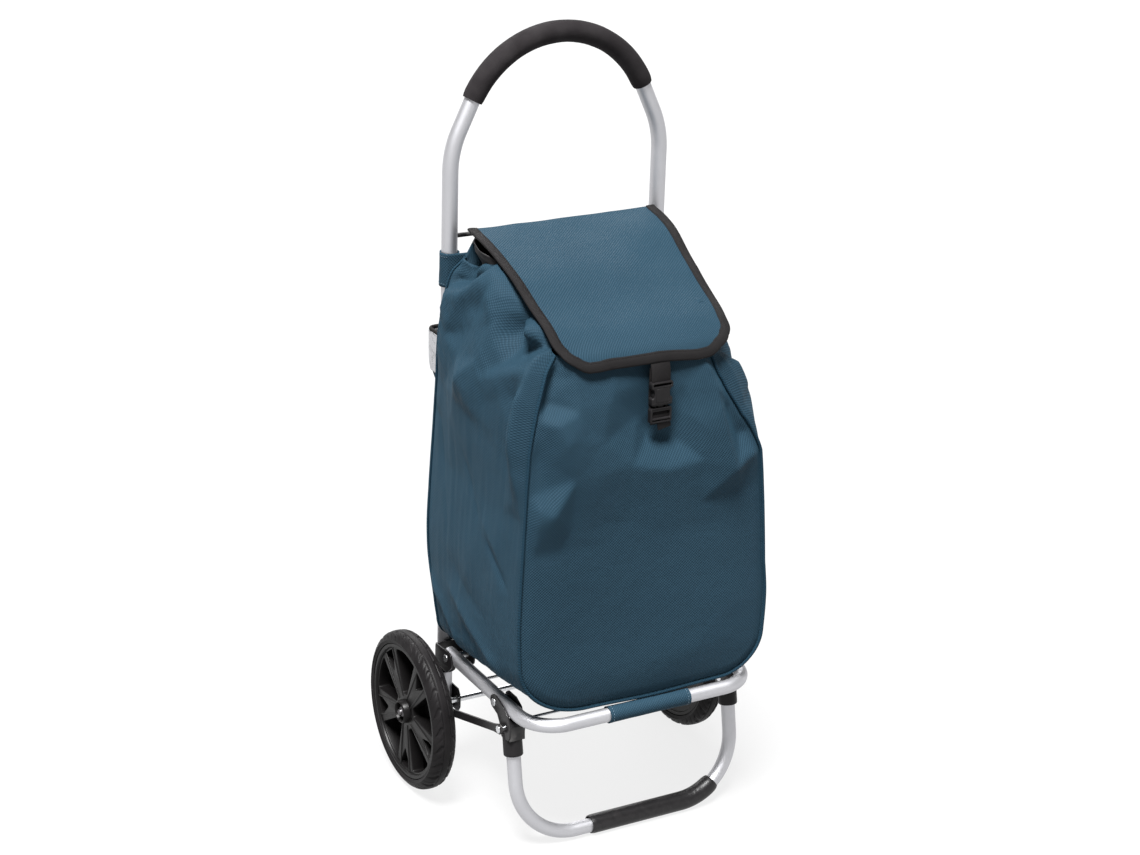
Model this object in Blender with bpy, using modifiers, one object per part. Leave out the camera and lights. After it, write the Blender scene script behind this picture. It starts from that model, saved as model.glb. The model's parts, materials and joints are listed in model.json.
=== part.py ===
"""Folding shopping trolley: aluminium chassis on two wheels with a fabric bag.

Frame of reference: the trolley stands on the plane Z = 0 with its front towards -Y, and the
origin is below the middle of its bounding box.  Every piece is laid out from the axle, which
lies along X at Y = 0, and the root empty then moves the whole trolley back by AXLE_Y.
All sizes are in metres.
"""
import math

import bmesh
import bpy
from mathutils import Matrix, Vector

# ---------------------------------------------------------------- driving dimensions
GAP = 0.0003                    # clearance between neighbouring pieces
SHEET = 0.0015                  # thickness of the stamped brackets
RIVET_R = 0.0030                # radius of every rivet shank
HOLE_R = RIVET_R + GAP
HEAD_R = 0.0050                 # radius of every rivet head
HEAD_T = 0.0015

AXLE_Y = 0.080                  # the axle stands this far behind the middle of the footprint
WHEEL_R = 0.105
WHEEL_X = 0.201                 # middle plane of a wheel
TYRE_FACETS = 36
TYRE_W = 0.032
AXLE_R = 0.0040
AXLE_Z = WHEEL_R

UPRIGHT_X = 0.147
UPRIGHT_Y = 0.016
UPRIGHT_BOTTOM = 0.080
FRAME_R = 0.010                 # handle and upright tube
HANDLE_TOP = 0.976              # centreline of the handle's crown
CROWN_R = 0.1314
CROWN_TILT = math.radians(25.4)  # lean of the tube where the crown begins
SHOULDER_R = 0.120
GRIP_R = 0.0135

DECK_X = 0.157                  # side tubes of the platform and of the leg
DECK_Z = 0.1853
DECK_R = 0.009
DECK_FRONT = -0.2545
DECK_CORNER = 0.045
DECK_PIVOT_Y = -0.030
DECK_REAR = DECK_PIVOT_Y + 0.012

LEG_PIVOT_Y = -0.164
STAY_FRONT = Vector((0.0, -0.191, 0.162))
FOOT_Y = -0.2195
FOOT_R = 0.0110
LEG_CORNER = 0.080
STAY_X = 0.1735
STAY_T = 0.0024
STAY_W = 0.010

BAG_BOTTOM = 0.1985
BAG_REAR = -0.0020
CLOTH = 0.0018
# Outside of the bag, from the bottom up: front height, rear height, half width, front.
BAG_LEVELS = (
    (0.1985, 0.1985, 0.150, -0.240),
    (0.2140, 0.2140, 0.166, -0.254),
    (0.2600, 0.2600, 0.171, -0.257),
    (0.4000, 0.4100, 0.172, -0.252),
    (0.5200, 0.5400, 0.166, -0.246),
    (0.6000, 0.6500, 0.152, -0.240),
    (0.6460, 0.7300, 0.128, -0.232),
)
BAG_CORNER = 0.040

FLAP_HINGE = Vector((0.0, 0.001, 0.7420))
# Side view of the flap from its hinge to its free edge.
FLAP_PROFILE = ((-0.003, 0.7440), (-0.060, 0.7300), (-0.120, 0.7080), (-0.175, 0.6860),
                (-0.215, 0.6700), (-0.238, 0.6540), (-0.246, 0.6370))
FLAP_HALF = 0.128
FLAP_CORNER = 0.050
WEBBING_W = 0.026

POCKET_BOTTOM = 0.330
POCKET_TOP = 0.600
POCKET_HALF = 0.124

BUCKLE_Y = -0.2520
BUCKLE_HALF = 0.0148
SOCKET_BOTTOM = 0.5840
SOCKET_TOP = 0.6130
PLUG_BOTTOM = 0.5625
PRONG_X = 0.0078

SIDES = {"left": -1, "right": 1}
ROUND = 20                      # facets of a turned piece

# ---------------------------------------------------------------- scene bookkeeping
for old in list(bpy.data.objects):
    bpy.data.objects.remove(old)


def new_collection(name):
    """Return a fresh collection linked to the scene."""
    group = bpy.data.collections.new(name)
    bpy.context.scene.collection.children.link(group)
    return group


PARTS = new_collection("shopping_trolley")
CUTTERS = new_collection("cutters")


def finish(name, colour, roughness, metallic=0.0):
    """A plain Principled material."""
    material = bpy.data.materials.new(name)
    material.use_nodes = True
    shader = material.node_tree.nodes["Principled BSDF"]
    shader.inputs["Base Color"].default_value = (*colour, 1.0)
    shader.inputs["Roughness"].default_value = roughness
    shader.inputs["Metallic"].default_value = metallic
    return material


ALUMINIUM = finish("aluminium", (0.80, 0.80, 0.81), 0.30, 1.0)
BLACK_STEEL = finish("black_steel", (0.025, 0.024, 0.024), 0.45, 0.4)
ZINC_STEEL = finish("zinc_steel", (0.62, 0.63, 0.64), 0.30, 1.0)
FOAM = finish("foam", (0.045, 0.042, 0.044), 0.90)
BLACK_PLASTIC = finish("black_plastic", (0.035, 0.035, 0.035), 0.45)
TYRE_RUBBER = finish("tyre_rubber", (0.050, 0.048, 0.050), 0.80)
BLUE_CLOTH = finish("blue_cloth", (0.065, 0.130, 0.190), 0.85)
BLACK_CLOTH = finish("black_cloth", (0.030, 0.028, 0.030), 0.80)
FOIL = finish("foil", (0.75, 0.75, 0.76), 0.30, 0.9)
BOARD = finish("board", (0.10, 0.10, 0.10), 0.70)


def keep(obj, material, group=PARTS):
    """Give an object its material and its only collection."""
    for owner in list(obj.users_collection):
        owner.objects.unlink(obj)
    group.objects.link(obj)
    if material is not None:
        obj.data.materials.clear()
        obj.data.materials.append(material)
    return obj


def as_cutter(obj):
    """Hide a helper body that only shapes other pieces."""
    keep(obj, None, CUTTERS)
    obj.hide_render = True
    obj.display_type = 'WIRE'
    return obj


def smooth(obj, degrees=40):
    """Shade an object smooth between its real edges."""
    obj.data.shade_smooth()
    obj.data.set_sharp_from_angle(angle=math.radians(degrees))
    return obj


def joint_empty(name, location, parent=None):
    """An empty on a joint's axis, for the moving pieces to hang from."""
    empty = bpy.data.objects.new(name, None)
    empty.empty_display_size = 0.02
    empty.location = location
    PARTS.objects.link(empty)
    bpy.context.view_layer.update()
    if parent is not None:
        attach(empty, parent)
    return empty


def attach(obj, empty):
    """Parent an object to an empty and leave it where it is."""
    bpy.context.view_layer.update()
    obj.parent = empty
    obj.matrix_parent_inverse = empty.matrix_world.inverted()
    return obj


# ---------------------------------------------------------------- shape tools
def new_mesh(name, bm, material, group=PARTS):
    """Turn a bmesh into an object."""
    bmesh.ops.recalc_face_normals(bm, faces=bm.faces)
    mesh = bpy.data.meshes.new(name)
    bm.to_mesh(mesh)
    bm.free()
    obj = bpy.data.objects.new(name, mesh)
    group.objects.link(obj)
    if material is not None:
        mesh.materials.append(material)
    return obj


def block(name, low, high, material, bevel=0.0):
    """A box between two corners, with rounded edges if asked."""
    low, high = Vector(low), Vector(high)
    bm = bmesh.new()
    bmesh.ops.create_cube(bm, size=1.0)
    bmesh.ops.scale(bm, vec=high - low, verts=bm.verts)
    bmesh.ops.translate(bm, vec=(low + high) / 2, verts=bm.verts)
    obj = new_mesh(name, bm, material)
    if bevel:
        modifier = obj.modifiers.new("edges", 'BEVEL')
        modifier.width = bevel
        modifier.segments = 2
    return obj


def cross_bar(name, low_x, high_x, centre, radius, material, facets=16, turn=0.0):
    """A cylinder along X through the point centre = (y, z), its facets turned by an angle."""
    bm = bmesh.new()
    bmesh.ops.create_cone(bm, cap_ends=True, segments=facets, radius1=radius, radius2=radius,
                          depth=high_x - low_x)
    bmesh.ops.rotate(bm, matrix=Matrix.Rotation(turn, 3, 'Z'), verts=bm.verts)
    bmesh.ops.rotate(bm, matrix=Matrix.Rotation(math.pi / 2, 3, 'Y'), verts=bm.verts)
    bmesh.ops.translate(bm, vec=((low_x + high_x) / 2, *centre), verts=bm.verts)
    return smooth(new_mesh(name, bm, material))


def fillet(corners, radii, steps):
    """Round the inner corners of a polyline with arcs that touch both legs."""
    corners = [Vector(c) for c in corners]
    points = [corners[0]]
    for index, radius in enumerate(radii, start=1):
        corner = corners[index]
        back = (corners[index - 1] - corner).normalized()
        ahead = (corners[index + 1] - corner).normalized()
        half = back.angle(ahead) / 2
        centre = corner + (back + ahead).normalized() * (radius / math.sin(half))
        start = corner + back * (radius / math.tan(half)) - centre
        end = corner + ahead * (radius / math.tan(half)) - centre
        turn = start.angle(end)
        for step in range(steps[index - 1] + 1):
            share = step / steps[index - 1]
            weight_a = math.sin((1 - share) * turn) / math.sin(turn)
            weight_b = math.sin(share * turn) / math.sin(turn)
            points.append(centre + start * weight_a + end * weight_b)
    points.append(corners[-1])
    return points


def sweep(name, points, radius, material, resolution=4, caps=True, cyclic=False, tilt=0.0):
    """A round bar along a run of points, as a bevelled curve; tilt turns its facets."""
    curve = bpy.data.curves.new(name, 'CURVE')
    curve.dimensions = '3D'
    curve.bevel_depth = radius
    curve.bevel_resolution = resolution
    curve.use_fill_caps = caps
    spline = curve.splines.new('POLY')
    spline.points.add(len(points) - 1)
    for knot, point in zip(spline.points, points):
        knot.co = (*point, 1.0)
        knot.tilt = tilt
    spline.use_cyclic_u = cyclic
    obj = bpy.data.objects.new(name, curve)
    return keep(obj, material)


def as_mesh(obj):
    """Replace a curve object by the welded mesh of its evaluated shape."""
    bpy.context.view_layer.update()
    mesh = bpy.data.meshes.new_from_object(obj.evaluated_get(bpy.context.evaluated_depsgraph_get()))
    bm = bmesh.new()
    bm.from_mesh(mesh)
    bmesh.ops.remove_doubles(bm, verts=bm.verts, dist=0.000001)
    bmesh.ops.recalc_face_normals(bm, faces=bm.faces)
    bm.to_mesh(mesh)
    bm.free()
    name, group, matrix = obj.name, obj.users_collection[0], obj.matrix_world.copy()
    bpy.data.objects.remove(obj)
    copy = bpy.data.objects.new(name, mesh)
    copy.matrix_world = matrix
    group.objects.link(copy)
    return smooth(copy)


def pipe(name, points, radius, wall, material, resolution=4, tilt=0.0):
    """A hollow tube with open ends along a run of points."""
    obj = as_mesh(sweep(name, points, radius, material, resolution, caps=False, tilt=tilt))
    return thicken(obj, wall)


def thicken(obj, thickness, offset=-1.0):
    """Give an open surface its thickness; offset -1 grows it inwards."""
    modifier = obj.modifiers.new("thickness", 'SOLIDIFY')
    modifier.thickness = thickness
    modifier.offset = offset
    modifier.use_even_offset = True
    return obj


def turned(name, profile, side, material, centre=(0.0, 0.0), closed=False, steps=ROUND,
           start=0.0):
    """Turn a (radius, distance) profile about an axis along X, outwards on the given side."""
    bm = bmesh.new()
    knots = [bm.verts.new((radius * math.cos(start), radius * math.sin(start), distance))
             for radius, distance in profile]
    for first, second in zip(knots, knots[1:]):
        bm.edges.new((first, second))
    if closed:
        bm.edges.new((knots[-1], knots[0]))
    mesh = bpy.data.meshes.new(name)
    bm.to_mesh(mesh)
    bm.free()
    obj = bpy.data.objects.new(name, mesh)
    PARTS.objects.link(obj)
    mesh.materials.append(material)
    screw = obj.modifiers.new("turn", 'SCREW')
    screw.steps = steps
    screw.render_steps = steps
    screw.use_merge_vertices = True
    screw.merge_threshold = 0.00001
    screw.use_smooth_shade = False
    obj.rotation_euler = (0.0, side * math.pi / 2, 0.0)
    obj.location = (0.0, *centre)
    return obj


def ring(name, inner, outer, near, far, side, material, centre=(0.0, 0.0), steps=ROUND):
    """A washer, bush or collar about an axis along X."""
    profile = ((outer, far), (outer, near), (inner, near), (inner, far))
    return turned(name, profile, side, material, centre, closed=True, steps=steps)


def side_plate(name, outline, low_x, high_x, material, holes=()):
    """A plate across X from a (y, z) outline, with round holes given as (y, z, radius)."""
    curve = bpy.data.curves.new(name, 'CURVE')
    curve.dimensions = '2D'
    curve.fill_mode = 'BOTH'
    curve.extrude = (high_x - low_x) / 2
    rings = [list(outline)]
    for y, z, radius in holes:
        rings.append(circle(y, z, radius, 16))
    for loop in rings:
        spline = curve.splines.new('POLY')
        spline.points.add(len(loop) - 1)
        for knot, (y, z) in zip(spline.points, loop):
            knot.co = (y, z, 0.0, 1.0)
        spline.use_cyclic_u = True
    obj = bpy.data.objects.new(name, curve)
    obj.rotation_euler = (math.pi / 2, 0.0, math.pi / 2)
    obj.location = ((low_x + high_x) / 2, 0.0, 0.0)
    return keep(obj, material)


def circle(y, z, radius, facets, start=0.0, sweep_angle=2 * math.pi):
    """Points along a circle or an arc of it in a (y, z) plane."""
    full = abs(sweep_angle - 2 * math.pi) < 1e-9
    count = facets if full else facets + 1
    return [(y + radius * math.cos(start + sweep_angle * i / facets),
             z + radius * math.sin(start + sweep_angle * i / facets)) for i in range(count)]


def combine(obj, others, operation='DIFFERENCE'):
    """Cut, join or intersect a mesh with helper bodies."""
    for other in others:
        as_cutter(other)
        modifier = obj.modifiers.new(operation.lower(), 'BOOLEAN')
        modifier.operation = operation
        modifier.object = other
        modifier.solver = 'EXACT'
    return obj


def drill(obj, holes, low_x, high_x):
    """Bore round holes along X through a mesh; holes are (y, z, radius)."""
    drills = [cross_bar(f"{obj.name}_drill_{n}", low_x, high_x, (y, z), radius, None, turn=0.11)
              for n, (y, z, radius) in enumerate(holes)]
    return combine(obj, drills)


def rivet(name, inner, outer, side, centre, material, shoulder=None, heads=(True, True)):
    """A rivet along X between two cheeks, with an optional thicker stretch (near, far, radius)."""
    profile = [(0.0, outer + HEAD_T), (HEAD_R, outer + HEAD_T), (HEAD_R, outer), (RIVET_R, outer)]
    if not heads[1]:
        profile = [(0.0, outer), (RIVET_R, outer)]
    if shoulder:
        near, far, radius = shoulder
        profile += [(RIVET_R, far), (radius, far), (radius, near), (RIVET_R, near)]
    if heads[0]:
        profile += [(RIVET_R, inner), (HEAD_R, inner), (HEAD_R, inner - HEAD_T), (0.0, inner - HEAD_T)]
    else:
        profile += [(RIVET_R, inner), (0.0, inner)]
    return turned(name, profile, side, material, centre, steps=12)


def ordered(side, near, far):
    """The low and high X of a stretch between two distances from the middle plane."""
    return (near, far) if side > 0 else (-far, -near)


def stamped_channel(name, side, outline, near, far, web_y, web_at_front, holes, material):
    """A U-shaped bracket: two cheeks of sheet joined by a web at the front or at the rear."""
    low, high = ordered(side, near, far)
    obj = as_mesh(side_plate(name, outline, low, high, material))
    reach = (-0.40, web_y) if not web_at_front else (web_y, 0.40)
    room = block(f"{name}_room", (low + SHEET, reach[0], 0.0), (high - SHEET, reach[1], 0.40), None)
    combine(obj, [room])
    return drill(obj, holes, low - 0.01, high + 0.01)


# ---------------------------------------------------------------- chassis
def handle_path():
    """Centreline of the uprights and the crowned handle, left foot to right foot."""
    rise = CROWN_R * (1 / math.sin(CROWN_TILT) - 1)
    apex = HANDLE_TOP + rise
    bend = apex - UPRIGHT_X / math.tan(CROWN_TILT)
    corners = ((-UPRIGHT_X, UPRIGHT_Y, UPRIGHT_BOTTOM), (-UPRIGHT_X, UPRIGHT_Y, bend),
               (0.0, UPRIGHT_Y, apex), (UPRIGHT_X, UPRIGHT_Y, bend),
               (UPRIGHT_X, UPRIGHT_Y, UPRIGHT_BOTTOM))
    return fillet(corners, (SHOULDER_R, CROWN_R, SHOULDER_R), (3, 12, 3))


def make_handle():
    """Bent aluminium tube, its foam grip and the rod that carries the bag's top edge."""
    path = handle_path()
    frame = pipe("handle_frame", path, FRAME_R, 0.0015, ALUMINIUM, resolution=4)
    for side in SIDES.values():
        low, high = ordered(side, UPRIGHT_X - 0.02, UPRIGHT_X + 0.02)
        drill(frame, [(UPRIGHT_Y, BRACKET_RIVET_Z, HOLE_R)], low, high)
    crown = path[5:-5]
    grip = pipe("handle_grip", crown, GRIP_R, GRIP_R - FRAME_R - 2 * GAP, FOAM, resolution=4)
    reach = UPRIGHT_X - FRAME_R - GAP
    rod = cross_bar("top_rod", -reach, reach, (UPRIGHT_Y, 0.7343), 0.0030, BLACK_STEEL, 12)
    return [frame, grip, rod]


BRACKET_RIVET_Z = 0.180
BRACKET_OUTER = DECK_X + DECK_R + GAP + SHEET
BRACKET_INNER = UPRIGHT_X - FRAME_R - GAP - SHEET
DECK_OUTLINE = ((-0.047, 0.177), (-0.047, 0.190), (-0.041, 0.196), (0.0285, 0.196),
                (0.0285, 0.164), (-0.034, 0.164))
AXLE_OUTLINE = ((-0.009, 0.097), (-0.009, 0.113), (-0.003, 0.122), (0.0285, 0.122),
                (0.0285, 0.088), (-0.003, 0.088))


def make_brackets(word, side):
    """Stamped brackets on one upright: one for the platform's pivot, one for the axle."""
    web = UPRIGHT_Y + FRAME_R + GAP
    rear = stamped_channel(f"rear_bracket_{word}", side, DECK_OUTLINE, BRACKET_INNER, BRACKET_OUTER,
                           web, False, [(DECK_PIVOT_Y, DECK_Z, HOLE_R),
                                        (UPRIGHT_Y, BRACKET_RIVET_Z, HOLE_R)], BLACK_STEEL)
    grasp = FRAME_R + GAP + SHEET
    low = stamped_channel(f"axle_bracket_{word}", side, AXLE_OUTLINE, UPRIGHT_X - grasp,
                          UPRIGHT_X + grasp, web, False, [(0.0, AXLE_Z, AXLE_R + GAP)], BLACK_STEEL)
    pin = rivet(f"platform_pin_{word}", BRACKET_INNER - GAP, BRACKET_OUTER + GAP, side,
                (DECK_PIVOT_Y, DECK_Z), ZINC_STEEL,
                shoulder=(BRACKET_INNER + SHEET + GAP, DECK_X - DECK_R - GAP, 0.0045))
    fixing = rivet(f"bracket_rivet_{word}", BRACKET_INNER - GAP, BRACKET_OUTER + GAP, side,
                   (UPRIGHT_Y, BRACKET_RIVET_Z), ZINC_STEEL)
    collar = upright_sleeve(f"upright_collar_{word}", side, 0.146, 0.160, 0.0145, BLACK_PLASTIC)
    return [rear, low, pin, fixing, collar]


def upright_sleeve(name, side, bottom, top, radius, material):
    """A sleeve around one upright."""
    bm = bmesh.new()
    bmesh.ops.create_cone(bm, cap_ends=True, segments=ROUND, radius1=radius, radius2=radius,
                          depth=top - bottom)
    bmesh.ops.translate(bm, vec=(side * UPRIGHT_X, UPRIGHT_Y, (top + bottom) / 2), verts=bm.verts)
    sleeve = smooth(new_mesh(name, bm, material))
    bm = bmesh.new()
    bmesh.ops.create_cone(bm, cap_ends=True, segments=ROUND, radius1=FRAME_R + GAP,
                          radius2=FRAME_R + GAP, depth=top - bottom + 0.02)
    bmesh.ops.translate(bm, vec=(side * UPRIGHT_X, UPRIGHT_Y, (top + bottom) / 2), verts=bm.verts)
    return combine(sleeve, [new_mesh(f"{name}_bore", bm, None)])


HUB_NEAR = STAY_X + STAY_T / 2 + 2 * GAP
HUB_FAR = 0.2200
HUB_RECESS = 0.2135


def make_axle():
    """Steel axle with its end caps and the spacers that hold the stays outboard."""
    end = 0.2172
    pieces = [cross_bar("axle", -end, end, (0.0, AXLE_Z), AXLE_R, ZINC_STEEL, 20)]
    spacer_near = UPRIGHT_X + FRAME_R + 2 * GAP + SHEET
    for word, side in SIDES.items():
        pieces.append(ring(f"axle_spacer_{word}", AXLE_R + GAP, 0.0065, spacer_near,
                           STAY_X - STAY_T / 2 - GAP, side, BLACK_PLASTIC, (0.0, AXLE_Z)))
        bore = AXLE_R + GAP
        cap = ((0.0, 0.2212), (0.0040, 0.2204), (0.0068, 0.2180), (0.0072, HUB_RECESS + GAP * 2),
               (bore, HUB_RECESS + GAP * 2), (bore, end + GAP), (0.0, end + GAP))
        pieces.append(turned(f"axle_cap_{word}", cap, side, ZINC_STEEL, (0.0, AXLE_Z)))
    return pieces


# ---------------------------------------------------------------- wheels
def polar(radius, degrees):
    """A (y, z) point on the wheel's face, seen about the axle."""
    angle = math.radians(degrees)
    return radius * math.cos(angle), AXLE_Z + radius * math.sin(angle)


SPOKE_PAIRS = 5
SPOKE_START = -163.0            # direction of the first pair of spokes, in degrees
RIM_IN = 0.0825
TYRE_SEAT = 0.0900


def make_rim(word, side):
    """Moulded rim: a barrel, a hub and five split spokes with a small window in each."""
    near, far = WHEEL_X - 0.0135, WHEEL_X + 0.0135
    barrel = ((TYRE_SEAT - GAP, far), (TYRE_SEAT - GAP, near), (RIM_IN + 0.003, near),
              (RIM_IN + 0.003, far - 0.012), (RIM_IN, far - 0.010), (RIM_IN, far))
    rim = turned(f"rim_{word}", barrel, side, BLACK_PLASTIC, (0.0, AXLE_Z), closed=True,
                 steps=TYRE_FACETS, start=math.pi / TYRE_FACETS)
    outline = [polar(RIM_IN + 0.003, 10.0 * step) for step in range(36)]
    low, high = ordered(side, far - 0.014, far - 0.004)
    disc = as_mesh(side_plate(f"rim_{word}_disc", outline, low, high, None))
    openings = []
    for pair in range(SPOKE_PAIRS):
        middle = SPOKE_START + pair * 360.0 / SPOKE_PAIRS
        window = [polar(0.054, middle)] + [polar(RIM_IN - 0.001, middle + a) for a in (-10, 0, 10)]
        between = middle + 180.0 / SPOKE_PAIRS
        opening = [polar(0.0230, between - 15), polar(0.0230, between + 15)]
        opening += [polar(RIM_IN - 0.001, between + a) for a in (19.5, 7, -7, -19.5)]
        for loop, kind in ((window, "window"), (opening, "opening")):
            openings.append(as_mesh(side_plate(f"rim_{word}_{kind}_{pair}", loop,
                                               low - 0.01, high + 0.01, None)))
    combine(disc, openings)
    hub = ((0.0120, HUB_FAR), (0.0135, HUB_NEAR), (0.0066, HUB_NEAR), (0.0066, HUB_RECESS),
           (0.0090, HUB_RECESS), (0.0090, HUB_FAR))
    core = cross_bar(f"rim_{word}_core", *ordered(side, HUB_NEAR - 0.02, HUB_FAR + 0.02),
                     (0.0, AXLE_Z), 0.0100, None)
    combine(disc, [core])
    hub_body = turned(f"rim_{word}_hub", hub, side, BLACK_PLASTIC, (0.0, AXLE_Z), closed=True)
    return combine(rim, [disc, hub_body], 'UNION')


def make_wheel(word, side):
    """Tyre, rim and bush of one wheel."""
    half = TYRE_W / 2
    near, far = WHEEL_X - half, WHEEL_X + half
    # One facet of the tread lies flat on the floor, so the radius is measured across flats.
    crown = WHEEL_R / math.cos(math.pi / TYRE_FACETS)
    tyre = ((crown, WHEEL_X + half * 0.45), (crown, WHEEL_X - half * 0.45),
            (crown - 0.0035, near + 0.0025), (crown - 0.0080, near), (TYRE_SEAT, near + 0.0015),
            (TYRE_SEAT, far - 0.0015), (crown - 0.0080, far), (crown - 0.0035, far - 0.0025))
    pieces = [turned(f"tyre_{word}", tyre, side, TYRE_RUBBER, (0.0, AXLE_Z), closed=True,
                     steps=TYRE_FACETS, start=math.pi / TYRE_FACETS)]
    pieces.append(make_rim(word, side))
    pieces.append(ring(f"wheel_bush_{word}", AXLE_R + GAP, 0.0063, HUB_NEAR + GAP, HUB_RECESS - GAP,
                       side, ZINC_STEEL, (0.0, AXLE_Z)))
    return pieces


# ---------------------------------------------------------------- platform
def make_platform():
    """Folding platform: bent tube, cross wires, pivots of the leg, and the bag's bar sleeve."""
    corners = ((-DECK_X, DECK_REAR, DECK_Z), (-DECK_X, DECK_FRONT, DECK_Z),
               (DECK_X, DECK_FRONT, DECK_Z), (DECK_X, DECK_REAR, DECK_Z))
    path = fillet(corners, (DECK_CORNER, DECK_CORNER), (6, 6))
    tube = pipe("platform_tube", path, DECK_R, 0.0015, ALUMINIUM, resolution=4)
    drill(tube, [(DECK_PIVOT_Y, DECK_Z, HOLE_R), (LEG_PIVOT_Y, DECK_Z, HOLE_R)], -0.20, 0.20)
    pieces = [tube]
    reach = DECK_X - DECK_R - GAP
    for word, y, short in (("rear", -0.106, 0.0), ("front", -0.2215, 0.0032)):
        pieces.append(cross_bar(f"cross_wire_{word}", short - reach, reach - short,
                                (y, DECK_Z + 0.0015), 0.0020, ZINC_STEEL, 10))
    sleeve = ring("bar_sleeve", DECK_R + GAP, DECK_R + 0.0016, -0.0575, 0.0575, 1, BLUE_CLOTH,
                  (DECK_FRONT, DECK_Z), steps=20)
    pieces.append(sleeve)
    for word, side in SIDES.items():
        near, far = DECK_X - LEG_GRASP, DECK_X + LEG_GRASP
        pieces.append(rivet(f"leg_pivot_{word}", near - GAP, far + GAP, side,
                            (LEG_PIVOT_Y, DECK_Z), ZINC_STEEL))
    return pieces


# ---------------------------------------------------------------- leg
LEG_GRASP = DECK_R + GAP + SHEET
LEG_OUTLINE = ((-0.1550, 0.1785), (-0.1535, 0.1853), (-0.1570, 0.1930), (-0.1660, 0.1955),
               (-0.1760, 0.1925), (-0.2000, 0.1752), (-0.2125, 0.1700), (-0.2125, 0.1545),
               (-0.1850, 0.1495), (-0.1775, 0.1640))
FOOT = Vector((0.0, FOOT_Y, FOOT_R))
LEG_DOWN = (FOOT - STAY_FRONT).normalized()


def leg_path():
    """Centreline of the U-shaped leg, left end to right end."""
    top = STAY_FRONT - LEG_DOWN * 0.008
    across = Vector((DECK_X, 0.0, 0.0))
    corners = (top - across, FOOT - across, FOOT + across, top + across)
    return fillet(corners, (LEG_CORNER, LEG_CORNER), (9, 9))


def make_leg():
    """Bent leg tube with its foot grip."""
    path = leg_path()
    tube = pipe("leg_tube", path, DECK_R, 0.0015, ALUMINIUM, resolution=4)
    drill(tube, [(STAY_FRONT.y, STAY_FRONT.z, HOLE_R)], -0.20, 0.20)
    # The grip lies off centre and starts up one bend; one of its facets lies flat on the floor.
    grip_path = [FOOT + Vector((-0.055, 0.0, 0.0))] + path[11:15]
    facets = 12
    across_corners = FOOT_R / math.cos(math.pi / facets)
    grip = pipe("foot_grip", grip_path, across_corners, FOOT_R - DECK_R - 2 * GAP, BLACK_PLASTIC,
                tilt=math.pi / facets)
    return [tube, grip]


def make_leg_fittings(word, side):
    """Bracket that hangs the leg from the platform, with its rivet and plastic sleeve."""
    bracket = stamped_channel(f"leg_bracket_{word}", side, LEG_OUTLINE, DECK_X - LEG_GRASP,
                              DECK_X + LEG_GRASP, -0.2125 + SHEET, True,
                              [(LEG_PIVOT_Y, DECK_Z, HOLE_R),
                               (STAY_FRONT.y, STAY_FRONT.z, HOLE_R)], BLACK_STEEL)
    across = Vector((side * DECK_X, 0.0, 0.0))
    start = across + STAY_FRONT + LEG_DOWN * 0.0135
    end = across + STAY_FRONT + LEG_DOWN * 0.0470
    sleeve = pipe(f"leg_sleeve_{word}", [start, end], 0.0116, 0.0116 - DECK_R - GAP, BLACK_PLASTIC)
    fixing = rivet(f"leg_rivet_{word}", DECK_X - LEG_GRASP - GAP, DECK_X + LEG_GRASP, side,
                   (STAY_FRONT.y, STAY_FRONT.z), ZINC_STEEL, heads=(True, False))
    return [bracket, sleeve, fixing]


def make_stay(word, side):
    """Flat stay from the axle to the leg, with the pin in its front eye."""
    span = Vector((STAY_FRONT.y, STAY_FRONT.z - AXLE_Z))
    heading = math.atan2(span.y, span.x)
    outline = []
    for (y, z), turn in (((STAY_FRONT.y, STAY_FRONT.z), 0.0), ((0.0, AXLE_Z), math.pi)):
        outline += circle(y, z, 0.0068, 10, heading + turn - 0.62 * math.pi, 1.24 * math.pi)
        reach = 0.016
        sign = 1 if turn == 0.0 else -1
        across = Vector((-math.sin(heading), math.cos(heading))) * sign
        along = Vector((math.cos(heading), math.sin(heading))) * sign
        for step in (reach,):
            outline.append((y + across.x * STAY_W / 2 - along.x * step,
                            z + across.y * STAY_W / 2 - along.y * step))
        far_y, far_z = ((0.0, AXLE_Z) if turn == 0.0 else (STAY_FRONT.y, STAY_FRONT.z))
        outline.append((far_y + across.x * STAY_W / 2 + along.x * reach,
                        far_z + across.y * STAY_W / 2 + along.y * reach))
    low, high = ordered(side, STAY_X - STAY_T / 2, STAY_X + STAY_T / 2)
    stay = side_plate(f"stay_{word}", outline, low, high, BLACK_STEEL,
                      [(0.0, AXLE_Z, AXLE_R + GAP), (STAY_FRONT.y, STAY_FRONT.z, HOLE_R)])
    pin = rivet(f"stay_pin_{word}", DECK_X + LEG_GRASP + GAP, STAY_X + STAY_T / 2 + GAP, side,
                (STAY_FRONT.y, STAY_FRONT.z), ZINC_STEEL, heads=(False, True))
    return [stay, pin]


# ---------------------------------------------------------------- bag
def bag_ring(front_z, rear_z, half, front, corner, rear=BAG_REAR):
    """One level of the bag: a rounded rectangle whose height runs from front to rear."""
    points = []
    centres = ((half - corner, rear - corner, 0), (-half + corner, rear - corner, 90),
               (-half + corner, front + corner, 180), (half - corner, front + corner, 270))
    for x, y, start in centres:
        for step in range(5):
            angle = math.radians(start + 22.5 * step)
            px, py = x + corner * math.cos(angle), y + corner * math.sin(angle)
            share = (py - front) / (rear - front)
            points.append((px, py, front_z + (rear_z - front_z) * share))
    return points


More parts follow.
